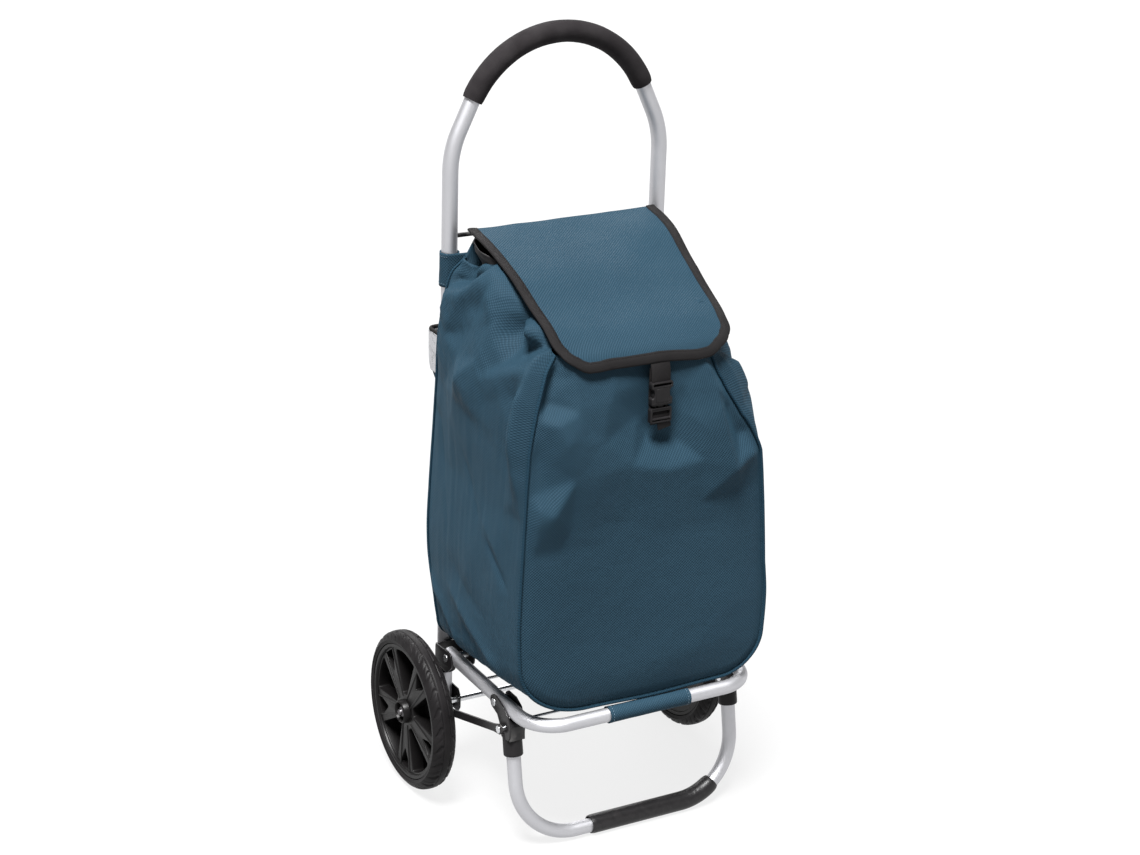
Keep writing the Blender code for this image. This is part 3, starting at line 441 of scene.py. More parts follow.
def frames_along(path):
    """Two unit vectors across a path at each of its points, without twist."""
    tangents = []
    for i in range(len(path)):
        ahead = path[min(i + 1, len(path) - 1)] - path[max(i - 1, 0)]
        tangents.append(ahead.normalized())
    side = Vector((0, 0, 1)) if abs(tangents[0].z) < 0.9 else Vector((0, 1, 0))
    frames = []
    for tangent in tangents:
        side = (side - tangent * side.dot(tangent)).normalized()
        frames.append((side, tangent.cross(side)))
    return frames


def tube(name, path, radii, material, sides=32, wall=None):
    """A round bar, or with a wall a pipe with open ends, along a path."""
    radii = [radii] * len(path) if isinstance(radii, float) else radii
    frames = frames_along(path)

    def ring(index, radius):
        side, up = frames[index]
        return [path[index] + side * radius * cos(a) + up * radius * sin(a) for a in turns(sides)]

    rows = [ring(i, radius) for i, radius in enumerate(radii)]
    if wall is not None:
        rows += [ring(i, radii[i] - wall) for i in reversed(range(len(path)))]
    return grid_mesh(name, rows, material, close_u=True, close_v=wall is not None,
                     caps=wall is None, sharp=50)


def fillet(corners, radii, steps):
    """Round the inner corners of a polyline with arcs that touch the lines on both sides."""
    points = [corners[0]]
    for corner, before, after, radius in zip(corners[1:], corners, corners[2:], radii):
        back, ahead = (before - corner).normalized(), (after - corner).normalized()
        half = back.angle(ahead) / 2
        centre = corner + (back + ahead).normalized() * (radius / sin(half))
        start = corner + back * (radius / tan(half)) - centre
        end = corner + ahead * (radius / tan(half)) - centre
        turn = start.angle(end)
        for step in range(steps + 1):
            share = step / steps
            points.append(centre + start * (sin((1 - share) * turn) / sin(turn))
                          + end * (sin(share * turn) / sin(turn)))
    points.append(corners[-1])
    return points


def dense(path, spacing):
    """The same path with extra points on its long straight stretches."""
    points = [path[0]]
    for a, b in zip(path, path[1:]):
        count = max(1, round((b - a).length / spacing))
        points += [a.lerp(b, k / count) for k in range(1, count + 1)]
    return points


def turned(name, profile, centre, side, material, steps):
    """Turn a closed (radius, distance) profile about an axis along X."""
    rows = [[Vector((centre[0] + side * distance, centre[1] + radius * cos(a),
                     centre[2] + radius * sin(a))) for a in turns(steps)]
            for radius, distance in profile]
    return grid_mesh(name, rows, material, close_u=True, close_v=True, sharp=35)


def plate(name, outline, holes, axis, low, high, bevel, material):
    """A flat piece with rounded edges, from an outline in the plane across an axis (X or Y)."""
    curve = bpy.data.curves.new(name, 'CURVE')
    curve.dimensions = '2D'
    curve.fill_mode = 'BOTH'
    curve.extrude = (high - low) / 2 - bevel
    curve.bevel_depth = bevel
    curve.bevel_resolution = 2
    curve.offset = -bevel
    for loop in [outline, *holes]:
        spline = curve.splines.new('POLY')
        spline.points.add(len(loop) - 1)
        for knot, (a, b) in zip(spline.points, loop):
            knot.co = (a, b, 0.0, 1.0)
        spline.use_cyclic_u = True
    helper = add_object(name, curve)
    mesh = evaluated_mesh(helper)
    bpy.data.objects.remove(helper)
    if axis == "X":
        turn = Matrix(((0, 0, 1, (low + high) / 2), (1, 0, 0, 0), (0, 1, 0, 0), (0, 0, 0, 1)))
    else:
        turn = Matrix(((1, 0, 0, 0), (0, 0, -1, (low + high) / 2), (0, 1, 0, 0), (0, 0, 0, 1)))
    mesh.transform(turn)
    bm = bmesh.new()
    bm.from_mesh(mesh)
    bpy.data.meshes.remove(mesh)
    bmesh.ops.remove_doubles(bm, verts=bm.verts, dist=0.00001)
    return new_object(name, bm, material, 30)


def arc(centre, radius, start, end, steps):
    """Points along an arc in a plane, angles in degrees."""
    angles = (radians(start + (end - start) * k / steps) for k in range(steps + 1))
    return [(centre[0] + radius * cos(a), centre[1] + radius * sin(a)) for a in angles]


def merge(name, objects):
    """Join several meshes of one material into one object."""
    bm = bmesh.new()
    for obj in objects:
        bm.from_mesh(obj.data)
    joined = new_object(name, bm, objects[0].data.materials[0], 35)
    for obj in objects:
        bpy.data.objects.remove(obj)
    return joined


def stitches(name, points, normals, length, radius, material):
    """A row of sewn stitches along a line of points."""
    bm = bmesh.new()
    gap = 0.0012
    distance, target = 0.0, gap
    for a, b, normal in zip(points, points[1:], normals):
        step = (b - a).length
        while distance + step > target + length:
            along = (b - a).normalized()
            centre = a + along * (target - distance + length / 2) + normal * radius * 0.4
            basis = Matrix((along, along.cross(normal).normalized(), normal)).transposed().to_4x4()
            basis.translation = centre
            made = bmesh.ops.create_icosphere(bm, subdivisions=1, radius=1.0)
            scale = Matrix.Diagonal((length / 2, radius, radius * 0.8, 1.0))
            bmesh.ops.transform(bm, matrix=basis @ scale, verts=made["verts"])
            target += length + gap
        distance += step
    return new_object(name, bm, material)


def refined(node, material, width, slot, segments=2):
    """A copy of a hard CAD node with rounded edges, which stands for it."""
    source = frame["nodes"][node]
    bm = bmesh.new()
    bm.from_mesh(source.data)
    bmesh.ops.remove_doubles(bm, verts=bm.verts, dist=0.00001)
    bmesh.ops.dissolve_limit(bm, angle_limit=radians(1.0), verts=bm.verts, edges=bm.edges)
    obj = new_object(f"{node}_finished", bm, material, 30)
    bevel = obj.modifiers.new("edges", 'BEVEL')
    bevel.width = width
    bevel.segments = segments
    bevel.limit_method = 'ANGLE'
    bevel.angle_limit = radians(40)
    return place(obj, BODY_OF[node], slot, node)


def recolour(node, material):
    """Give a CAD node whose shape stays its material."""
    obj = frame["nodes"][node]
    obj.data.materials.clear()
    obj.data.materials.append(material)


def hermite(knots, x):
    """Smooth value between (x, value, ...) knots, by Catmull-Rom."""
    xs = [k[0] for k in knots]
    x = min(max(x, xs[0]), xs[-1])
    i = min(max(sum(1 for k in xs if k <= x) - 1, 0), len(xs) - 2)
    share = (x - xs[i]) / (xs[i + 1] - xs[i])
    values = []
    for column in range(1, len(knots[0])):
        p = [knots[min(max(i + d, 0), len(knots) - 1)][column] for d in (-1, 0, 1, 2)]
        m1, m2 = (p[2] - p[0]) / 2, (p[3] - p[1]) / 2
        s2, s3 = share * share, share ** 3
        values.append((2 * s3 - 3 * s2 + 1) * p[1] + (s3 - 2 * s2 + share) * m1
                      + (3 * s2 - 2 * s3) * p[2] + (s3 - s2) * m2)
    return values[0] if len(values) == 1 else values


def smoothstep(low, high, x):
    """0 up to low, 1 from high, smooth between; falls instead of rising if low is above high."""
    t = min(max((x - low) / (high - low), 0.0), 1.0)
    return t * t * (3 - 2 * t)


# ---------------------------------------------------------------- tubes and grips
HANDLE_RADIUS, BAR_RADIUS, TUBE_WALL = 0.010, 0.009, 0.0015
# Where the uprights stand, and how far from the middle the platform's and the leg's sides run.
UPRIGHT_X, UPRIGHT_Y, DECK_X = 0.147, 0.016, 0.157


def handle_path(steps):
    """Centreline of the uprights and the crown, as the CAD lays it out."""
    bottom, top, crown, shoulder, tilt = 0.080, 0.976, 0.1314, 0.120, radians(25.4)
    apex = top + crown * (1 / sin(tilt) - 1)
    bend = apex - UPRIGHT_X / tan(tilt)
    corners = [at(side * UPRIGHT_X, UPRIGHT_Y, z)
               for side, z in ((-1, bottom), (-1, bend), (0, apex), (1, bend), (1, bottom))]
    return fillet(corners, (shoulder, crown, shoulder), steps)


def make_handle():
    """Handle tube and its foam grip."""
    steps = 32
    path = handle_path(steps)
    place(tube("handle_tube", path, HANDLE_RADIUS, ALUMINIUM, 36, wall=TUBE_WALL), "frame", "aluminium",
          "handle_frame")
    crown = dense(path[steps + 2:2 * steps + 3], 0.004)
    radii = []
    for i, point in enumerate(crown):
        edge = min(i, len(crown) - 1 - i)
        radii.append(0.0136 - 0.0012 * exp(-edge / 0.9) + 0.00022 * noise.noise(point * 45))
    grip = tube("foam_grip", crown, radii, FOAM, 40, wall=0.0029)
    place(grip, "frame", "foam", "handle_grip")


def make_platform_tube():
    """Bent tube of the platform and the cloth sleeve on its front bar."""
    rear, front, deck_z, corner = -0.018, -0.2545, 0.1853, 0.045
    corners = [at(x, y, deck_z)
               for x, y in ((-DECK_X, rear), (-DECK_X, front), (DECK_X, front), (DECK_X, rear))]
    path = fillet(corners, (corner, corner), 24)
    place(tube("platform_bar", path, BAR_RADIUS, ALUMINIUM, 32, wall=TUBE_WALL), "platform",
          "aluminium", "platform_tube")
    sleeve_half, stitch_half, stitch_radius = 0.0575, 0.0535, 0.0107
    bar = dense([at(-sleeve_half, front, deck_z), at(sleeve_half, front, deck_z)], 0.002)
    radii = []
    for i, point in enumerate(bar):
        edge = min(i, len(bar) - 1 - i)
        radii.append(0.0104 + 0.00045 * exp(-edge / 1.2) + 0.0003 * noise.noise(point * 60))
    place(tube("bar_cloth", bar, radii, CLOTH, 40, wall=0.0010), "platform", "blue_cloth", "bar_sleeve")
    for word, side in SIDES.items():
        centre = at(side * stitch_half, front, deck_z)
        ring = [centre + Vector((0.0, stitch_radius * cos(a), stitch_radius * sin(a)))
                for a in (2 * pi * k / 48 for k in range(49))]
        normals = [(p - centre).normalized() for p in ring]
        place(stitches(f"sleeve_stitches_{word}", ring, normals, 0.0026, 0.00035, THREAD),
              "platform", "blue_cloth")


FOOT = at(0.0, -0.2195, 0.011)
LEG_TOP = at(0.0, -0.191, 0.162)
LEG_DOWN = (FOOT - LEG_TOP).normalized()


def make_leg_tube():
    """Bent tube of the leg, its foot grip and its plastic sleeves."""
    across = Vector((DECK_X, 0, 0))
    top = LEG_TOP - LEG_DOWN * 0.008
    corner, steps, bend_length = 0.080, 24, 11
    path = fillet([top - across, FOOT - across, FOOT + across, top + across], (corner, corner), steps)
    place(tube("leg_bar", path, BAR_RADIUS, ALUMINIUM, 32, wall=TUBE_WALL), "leg", "aluminium",
          "leg_tube")
    # The grip covers the middle of the foot bar and the start of its right-hand bend.
    bend = path[steps + 2:steps + 2 + bend_length]
    raised, start = Vector((0, 0, 0.0012)), FOOT + Vector((-0.057, 0, 0))
    line = [point + raised for point in dense([start] + bend, 0.003)]
    last = len(line) - 1
    radii = [0.0122 - 0.0008 * exp(-i / 0.5) - 0.0020 * exp((i - last) / 1.2)
             for i in range(last + 1)]
    place(tube("foot_rubber", line, radii, FOOT_RUBBER, 40, wall=0.0014), "leg", "black_plastic",
          "foot_grip")
    # Each sleeve's radius at distances down the leg.
    sleeve = ((0.0050, 0.0112), (0.0058, 0.0120), (0.0080, 0.0122), (0.0330, 0.0124), (0.0358, 0.0123),
              (0.0366, 0.0117))
    for word, side in SIDES.items():
        spots = [side * across + LEG_TOP + LEG_DOWN * distance for distance, _ in sleeve]
        collar = tube(f"leg_collar_{word}", spots, [radius for _, radius in sleeve], PLASTIC, 36,
                      wall=0.0015)
        place(collar, "leg", "black_plastic", f"leg_sleeve_{word}")


# ---------------------------------------------------------------- wheels
# The wheel's middle and radius, its hub's outer end and the floor of the hub's hollow.
WHEEL_X, WHEEL_R = 0.201, 0.105
HUB_FAR, HUB_RECESS = 0.2200, 0.2135
TREAD_BLOCKS = 26


def tread(angle, offset):
    """Depth of the tread's grooves at an angle and a distance from the tyre's middle."""
    blocks_from, blocks_to = 0.0052, 0.0154
    lane = abs(offset)
    rib = 0.0010 * exp(-((lane - 0.0046) / 0.0007) ** 2)
    if lane < blocks_from or lane > blocks_to:
        return rib
    reach = (lane - blocks_from) / (blocks_to - blocks_from)
    swing = 0.55 * reach ** 1.6
    phase = (angle * TREAD_BLOCKS / (2 * pi) + (0.5 if offset > 0 else 0.0) + swing) % 1.0
    width = 0.20 * sin(pi * min(reach * 1.15 + 0.06, 1.0)) + 0.02
    leaf = 1 - smoothstep(width * 0.55, width, abs(phase - 0.35))
    line = exp(-((phase - 0.85) / 0.035) ** 2) * smoothstep(0.05, 0.3, reach)
    return rib + 0.0016 * leaf + 0.0009 * line


def make_tyre(word, side):
    """Tyre with a smooth centre band and curved blocks on its shoulders."""
    half, steps, tread_from = 0.016, 624, 0.0946
    section = []
    for k in range(41):
        offset = -half + 2 * half * k / 40
        lane = abs(offset) / half
        section.append((WHEEL_R - 0.0085 * lane ** 4 - 0.0022 * lane ** 2, offset))
    section += [(0.0945, half - 0.0004), (0.0930, half - 0.0012), (0.0900, half - 0.0018),
                (0.0900, -half + 0.0018), (0.0930, -half + 0.0012), (0.0945, -half + 0.0004)]
    rows = []
    for radius, offset in section:
        row = []
        for angle in turns(steps):
            r = radius - (tread(angle * side, offset * side) if radius > tread_from else 0.0)
            row.append(Vector((side * WHEEL_X + offset, AXLE_Y + r * cos(angle),
                               AXLE_Z + r * sin(angle))))
        rows.append(row)
    tyre = grid_mesh(f"tyre_{word}_treaded", rows, RUBBER, close_u=True, close_v=True, sharp=60)
    place(tyre, f"wheel_{word}", "tyre_rubber", f"tyre_{word}")


def polar(radius, degrees):
    """A (y, z) point about the axle."""
    angle = radians(degrees)
    return (AXLE_Y + radius * cos(angle), AXLE_Z + radius * sin(angle))


def rounded(loop, radius, steps=4):
    """A closed outline with its corners rounded."""
    points = [Vector((a, b, 0)) for a, b in loop]
    result = []
    for i, corner in enumerate(points):
        before, after = points[i - 1], points[(i + 1) % len(points)]
        back, ahead = (before - corner), (after - corner)
        angle = back.angle(ahead) / 2
        reach = min(radius / tan(angle), back.length * 0.45, ahead.length * 0.45)
        r = reach * tan(angle)
        if angle > radians(85):
            result.append((corner.x, corner.y))
            continue
        made = fillet([corner + back, corner, corner + ahead], (r,), steps)[1:-1]
        result += [(p.x, p.y) for p in made]
    return result


# Angle of each of the rim's five V-shaped spokes, in degrees.
SPOKES = [-163.0 + 72.0 * pair for pair in range(5)]


def make_rim(word, side):
    """Moulded rim: lipped barrel, V-shaped spokes, a closed back and the hub."""
    far = WHEEL_X + 0.0135
    centre = (0.0, AXLE_Y, AXLE_Z)
    profiles = {
        "barrel": ((0.0897, far - 0.0008), (0.0889, far), (0.0852, far), (0.0842, far - 0.0010),
                   (0.0836, far - 0.0040), (0.0830, far - 0.0120), (0.0846, far - 0.0260),
                   (0.0852, far - 0.0270), (0.0889, far - 0.0270), (0.0897, far - 0.0262)),
        "dish": ((0.0125, far - 0.0180), (0.0300, far - 0.0215), (0.0842, far - 0.0235),
                 (0.0842, far - 0.0255), (0.0300, far - 0.0240), (0.0125, far - 0.0240)),
        "hub": ((0.0142, HUB_FAR - 0.0006), (0.0150, HUB_FAR - 0.0020), (0.0165, HUB_FAR - 0.0110),
                (0.0150, 0.1760), (0.0142, 0.1753), (0.0066, 0.1753), (0.0066, HUB_RECESS - 0.0004),
                (0.0118, HUB_RECESS - 0.0002), (0.0124, HUB_FAR - 0.0012), (0.0132, HUB_FAR))}
    barrel, dish, hub = (turned(name, profiles[name], centre, side, RIM_PLASTIC, steps)
                         for name, steps in (("barrel", 144), ("dish", 96), ("hub", 64)))
    disc, hub_hole, fork, hub_edge, window_edge = 0.0848, 0.0120, 0.0535, 0.0250, 0.0815
    outline = arc((AXLE_Y, AXLE_Z), disc, 0, 357.5, 143)
    holes = [arc((AXLE_Y, AXLE_Z), hub_hole, 0, 350, 35)]
    for spoke in SPOKES:
        window = [polar(fork, spoke)] + [polar(window_edge, spoke + a) for a in (-10.5, -5, 0, 5, 10.5)]
        between = spoke + 36.0
        opening = [polar(hub_edge, between - 12), polar(hub_edge, between + 12)]
        opening += [polar(window_edge, between + a) for a in (19.5, 13, 6.5, 0, -6.5, -13, -19.5)]
        holes += [rounded(window, 0.0016), rounded(opening, 0.0030)]
    ends = sorted((side * (far - 0.0200), side * (far - 0.0030)))
    pieces = [barrel, plate("spokes", outline, holes, "X", *ends, 0.0011, RIM_PLASTIC), dish, hub]
    base = Vector((side * (far - 0.0036), AXLE_Y, AXLE_Z))
    rib_start, rib_end = 0.020, 0.083
    for spoke in SPOKES:
        angle = radians(spoke)
        for lean in (-0.16, 0.16):
            a = Vector((0, cos(angle + lean * 2.2), sin(angle + lean * 2.2))) * rib_start
            b = Vector((0, cos(angle + lean), sin(angle + lean))) * rib_end
            pieces.append(tube("rib", [base + a, base + a.lerp(b, 0.5), base + b],
                               [0.0016, 0.0019, 0.0016], RIM_PLASTIC, 10))
    place(merge(f"rim_{word}_moulded", pieces), f"wheel_{word}", "black_plastic", f"rim_{word}")


def make_axle_cap(word, side):
    """Domed nut at the end of the axle."""
    radius, base = 0.0040, 0.2178
    dome = [(radius * cos(a), base + radius * sin(a)) for a in (radians(9 * k) for k in range(10))]
    profile = [(0.0043, 0.2141), (0.0070, 0.2141), (0.0070, 0.2158), (0.0062, 0.2166), (0.0046, 0.2170),
               *dome, (0.0002, 0.2218), (0.0002, 0.2175), (0.0043, 0.2175)]
    cap = turned(f"axle_nut_{word}", profile, (0.0, AXLE_Y, AXLE_Z), side, NUT, 48)
    place(cap, "frame", "zinc_steel", f"axle_cap_{word}")


# ---------------------------------------------------------------- bag
# Seam around the front panel, in millimetres: height, left edge, right edge, and the seam's y.
FRONT_SEAM = metres((
    (200, -166, 160, -251.5), (250, -178, 163.2, -253), (305, -182, 165, -252.5),
    (350, -181.5, 161.2, -251.2), (430, -177.5, 156.2, -248.8), (500, -173.5, 150, -246.2),
    (526, -171.2, 138, -245), (552, -168.5, 120, -243.6), (597, -159, 93, -240.2),
    (623, -150.5, 81, -236.5), (640, -143, 74, -232), (658, -127, 66, -223)))
# Rear edge of the side cloth, in millimetres: height, left edge, right edge.
REAR_SEAM = metres((
    (203, -158, 156), (225, -166, 162), (250, -170.5, 165), (310, -174, 167), (360, -176, 168),
    (410, -174, 168), (480, -170.5, 166), (550, -170.5, 163), (610, -171, 156), (660, -164, 147),
    (700, -154, 136), (727, -138, 128)))
PANEL_BOTTOM, PANEL_TOP = 0.2015, 0.655
REAR_BOTTOM, REAR_TOP, REAR_Y = 0.2035, 0.727, -0.0045
# How far each lower corner reaches sideways and upwards, left then right.
PANEL_CORNERS = ((0.095, 0.075), (0.060, 0.055))
REAR_CORNERS = ((0.032, 0.030), (0.032, 0.030))
SIDE_ROWS, CORNER_ROWS, BOTTOM_ROWS = 110, 22, 60
BOTTOM_SAG, CLOTH_THICKNESS = 0.0025, 0.0012


def edges_at(table, z):
    """Left and right edge of a seam at a height."""
    return hermite(table, z)[:2]


def seam_run(bottom, top, corners, table, sag):
    """Points (x, z) down the left side, along the sagging bottom and up the right side."""
    sides = []
    for index, (wide, high) in enumerate(corners):
        straight = bottom + high
        edge = edges_at(table, straight)[index]
        sign = 1 if index == 0 else -1
        side = []
        for k in range(SIDE_ROWS):
            z = top + (straight - top) * k / SIDE_ROWS
            side.append((edges_at(table, z)[index], z))
        for k in range(CORNER_ROWS + 1):
            a = pi / 2 * k / CORNER_ROWS
            side.append((edge + sign * wide * (1 - cos(a)), straight - high * sin(a)))
        sides.append(side)
    (left, _), (right, _) = sides[0][-1], sides[1][-1]
    floor = []
    for k in range(1, BOTTOM_ROWS):
        share = k / BOTTOM_ROWS
        floor.append((left + (right - left) * share, bottom - sag * sin(pi * share) ** 2))
    return sides[0] + floor + sides[1][::-1]


def seam_front(z):
    """How far forward the front seam lies at a height."""
    return hermite(FRONT_SEAM, z)[2]


FRONT_RUN = seam_run(PANEL_BOTTOM, PANEL_TOP, PANEL_CORNERS, FRONT_SEAM, BOTTOM_SAG)
REAR_RUN = seam_run(REAR_BOTTOM, REAR_TOP, REAR_CORNERS, REAR_SEAM, 0.0)


def fold(u, v, start, end, width, height):
    """Height of one fold at (u, v): a ridge or, if negative, a valley between two points."""
    du, dv = end[0] - start[0], end[1] - start[1]
    length = hypot(du, dv)
    share = ((u - start[0]) * du + (v - start[1]) * dv) / length ** 2
    across = abs((u - start[0]) * dv - (v - start[1]) * du) / length
    inside = smoothstep(-0.25, 0.25, share) * (1 - smoothstep(0.75, 1.25, share))
    if inside <= 0.0 or across > 4 * width:
        return 0.0
    return height * inside * exp(-(across / width) ** 1.4)


# Creases in a panel's own plane, each a run of points (along, up, how far it stands out), in
# millimetres.  The heights are multiplied by FACET_GAIN.
FRONT_CREASES = metres((
    ((-155, 584, 2), (-137, 581, 6), (-130, 560, 7), (-117, 511, 5), (-146, 471, 7)),
    ((-158, 540, -2), (-146, 530, 1), (-150, 500, 0)), ((-138, 632, -7), (-146, 600, -6)),
    ((-110, 630, 2), (-108, 590, 3)),
    ((-65, 606, 3), (-26, 569, -3), (-6, 548, -6), (23, 536, -4), (55, 552, 4)),
    ((-80, 550, 3), (-40, 515, 3), (10, 502, 3), (60, 508, 4)), ((40, 600, 1), (-5, 610, -1)),
    ((62, 630, 3), (80, 590, 6), (85, 560, 7), (94, 523, 7), (105, 490, 8), (122, 497, 5), (140, 502, 3)),
    ((98, 561, -1), (117, 523, -3), (128, 513, 0)), ((-120, 440, 1), (-40, 445, 0)),
    ((60, 450, 1), (120, 455, 0))))
LEFT_CREASES = metres((
    ((3, 674, 2), (-29, 676, 6), (-55, 683, 8), (-73, 697, 8), (-86, 712, 6)),
    ((3, 684, -3), (-14, 690, -6), (-44, 698, -8), (-61, 707, -7), (-72, 720, -4)),
    ((-8, 708, 4), (-27, 708, 1), (-50, 714, 2)),
    ((-155, 704, -7), (-153, 690, -10), (-147, 675, -12), (-141, 664, -11), (-155, 651, -10),
     (-178, 654, -9), (-204, 663, -6), (-220, 676, -4)),
    ((-104, 706, 6), (-112, 692, 8), (-122, 677, 7), (-129, 664, 5), (-140, 645, 3), (-122, 620, 7),
     (-89, 590, 9)), ((-174, 690, 2), (-186, 670, 7), (-208, 684, 3)), ((-155, 628, 0), (-185, 641, -3)),
    ((-89, 590, 9), (-130, 602, 5), (-178, 622, 6), (-212, 634, 9), (-222, 652, 7)),
    ((-8, 646, 3), (-24, 625, 3)), ((-43, 652, 5), (-62, 668, 3)), ((-86, 672, 1), (-92, 655, 4)),
    ((-65, 610, 2), (-56, 636, 0)),
    ((-226, 625, 10), (-228, 600, 12), (-230, 560, 11), (-230, 520, 7), (-228, 480, 2)),
    ((-200, 600, 2), (-204, 560, 1), (-204, 520, 0)), ((-30, 560, 1), (-70, 560, 4)),
    ((-140, 575, 3), (-130, 545, 2))))
RIGHT_CREASES = metres((
    ((-222, 640, 2), (-214, 590, 10), (-212, 545, 6)),
    ((-200, 650, -3), (-192, 590, -5), (-196, 540, -3)), ((-176, 655, 6), (-165, 600, 9), (-168, 550, 4)),
    ((-140, 672, -7), (-135, 620, -8), (-150, 575, -3)), ((-105, 690, 5), (-105, 640, 7), (-120, 590, 3)),
    ((-70, 704, -6), (-78, 650, -6), (-86, 600, -2)), ((-30, 712, 4), (-45, 660, 6), (-50, 610, 3))))
# Softer folds, in millimetres: start, end, width, height.
FRONT_FOLDS = metres((
    ((-160, 400), (-60, 360), 50, 1.2), ((20, 330), (150, 300), 60, 1), ((-120, 300), (-20, 270), 40, -1),
    ((0, 250), (120, 262), 20, 0.8)))
LEFT_FOLDS = metres((
    ((4, 534), (-24, 511), 6, -1.8), ((-24, 511), (-50, 379), 5, -1.8),
    ((-96, 490), (-139, 423), 6, -1.6), ((-166, 405), (-214, 366), 6, -3),
    ((-150, 430), (-190, 400), 12, 2), ((10, 304), (-71, 229), 10, 5), ((-69, 300), (-205, 240), 10, 4.5),
    ((-20, 262), (-60, 226), 12, -4.5), ((-100, 262), (-150, 236), 14, -3),
    ((-60, 340), (-180, 290), 16, -2), ((-110, 400), (-120, 320), 20, 1.6),
    ((-190, 440), (-200, 330), 12, 1.6)))
RIGHT_FOLDS = metres((
    ((-50, 520), (-60, 400), 6, -1.8), ((-110, 540), (-120, 400), 6, -1.8),
    ((-170, 500), (-180, 370), 7, -1.8), ((-30, 380), (-120, 320), 20, 4),
    ((-60, 330), (-180, 240), 8, 3.6), ((-20, 300), (-80, 230), 10, -3.5)))


def facets(creases, low, high):
    """Flat facets stretched between creases, over a rectangle whose edge lies flat."""
    points, edges = [], []
    for crease in creases:
        start = len(points)
        points += crease
        edges += [(start + k, start + k + 1) for k in range(len(crease) - 1)]
    for k in range(13):
        u, v = low[0] + (high[0] - low[0]) * k / 12, low[1] + (high[1] - low[1]) * k / 12
        points += [(u, low[1], 0.0), (u, high[1], 0.0), (low[0], v, 0.0), (high[0], v, 0.0)]
    spots = [Vector((u, v)) for u, v, _ in points]
    verts, _, faces, sources, _, _ = geometry.delaunay_2d_cdt(spots, edges, [], 0, 0.0001)
    corners = [(v.x, v.y, points[source[0]][2] if source else 0.0) for v, source in zip(verts, sources)]
    return BVHTree.FromPolygons(corners, faces)


def facet_height(tree, u, v):
    """Height of the facets at a point, with creases rounded over a few millimetres."""
    total, reach = 0.0, 0.0035
    spots = [(0.0, 0.0)] + [(reach * cos(k * pi / 3), reach * sin(k * pi / 3)) for k in range(6)]
    for du, dv in spots:
        hit = tree.ray_cast(Vector((u + du, v + dv, 1.0)), Vector((0.0, 0.0, -1.0)))[0]
        total += hit.z if hit else 0.0
    return total / len(spots)


# How much the creases are deepened, so that their facets show as clearly as in the photograph.
FACET_GAIN = 2.3
FRONT_FACETS = facets(FRONT_CREASES, (-0.20, 0.42), (0.20, 0.70))
LEFT_FACETS = facets(LEFT_CREASES, (-0.27, 0.46), (0.03, 0.78))
RIGHT_FACETS = facets(RIGHT_CREASES, (-0.27, 0.46), (0.03, 0.78))


def crumple(point, scale, ridges):
    """Ridged noise: flat facets that meet in soft creases."""
    value = noise.noise(point * scale)
    return (1.0 - abs(value) * 2.0) * ridges + noise.noise(point * scale * 2.3) * (1 - ridges) * 0.5


def panel_height(x, z):
    """How far the front panel stands out from its seam."""
    left, right = edges_at(FRONT_SEAM, max(z, 0.27))
    span = 2 * (x - left) / (right - left) - 1
    below = max(0.0, 0.275 - z) / 0.075
    bulge = 0.0075 * (1 - span ** 4) * (1 - min(below, 1.0) ** 3) * smoothstep(0.68, 0.50, z)
    total = bulge + sum(fold(x, z, *f) for f in FRONT_FOLDS) + FACET_GAIN * facet_height(FRONT_FACETS, x, z)
    top = smoothstep(0.42, 0.60, z)
    spot = Vector((x, z, 0.3))
    return total + 0.0006 * crumple(spot, 11.0, 0.8) + 0.0014 * top * crumple(spot, 19.0, 0.8)


def seam_dip(distance):
    """Cloth drawn in next to a seam."""
    return -0.0022 * exp(-(distance / 0.0028) ** 2)


def run_tree(run):
    """Finds the distance to a seam."""
    tree = kdtree.KDTree(4 * (len(run) - 1))
    for i, (a, b) in enumerate(zip(run, run[1:])):
        for k in range(4):
            share = k / 4
            tree.insert((a[0] + (b[0] - a[0]) * share, a[1] + (b[1] - a[1]) * share, 0.0), 4 * i + k)
    tree.balance()
    return tree


def spread(k, count):
    """Steps from 0 to 1, somewhat closer together at both ends."""
    ease = 0.4
    return (1 - ease) * k / count + ease * (0.5 - 0.5 * cos(pi * k / count))


def make_front_panel():
    """Front panel: a sheet inside the seam, with its folds."""
    rows, across = [], 170
    count = SIDE_ROWS + CORNER_ROWS + 1
    tree = run_tree(FRONT_RUN)
    for (xl, zl), (xr, zr) in zip(FRONT_RUN[:count], FRONT_RUN[::-1][:count]):
        row = []
        for k in range(across + 1):
            share = spread(k, across)
            x, z = xl + (xr - xl) * share, zl + (zr - zl) * share
            z -= BOTTOM_SAG * sin(pi * share) ** 2 * smoothstep(0.23, PANEL_BOTTOM, z)
            gap = tree.find((x, z, 0.0))[2]
            height = panel_height(x, z) * smoothstep(0.0, 0.014, gap)
            height += seam_dip(gap) * smoothstep(0.0, 0.001, gap)
            row.append(at(x, seam_front(z) - height, z))
        rows.append(row)
    return sheet("bag_front", rows, CLOTH, CLOTH_THICKNESS)


def outward(run, index):
    """Direction away from the bag, across a seam's run."""
    before, after = run[max(index - 1, 0)], run[min(index + 1, len(run) - 1)]
    return Vector((after[1] - before[1], 0.0, before[0] - after[0])).normalized()


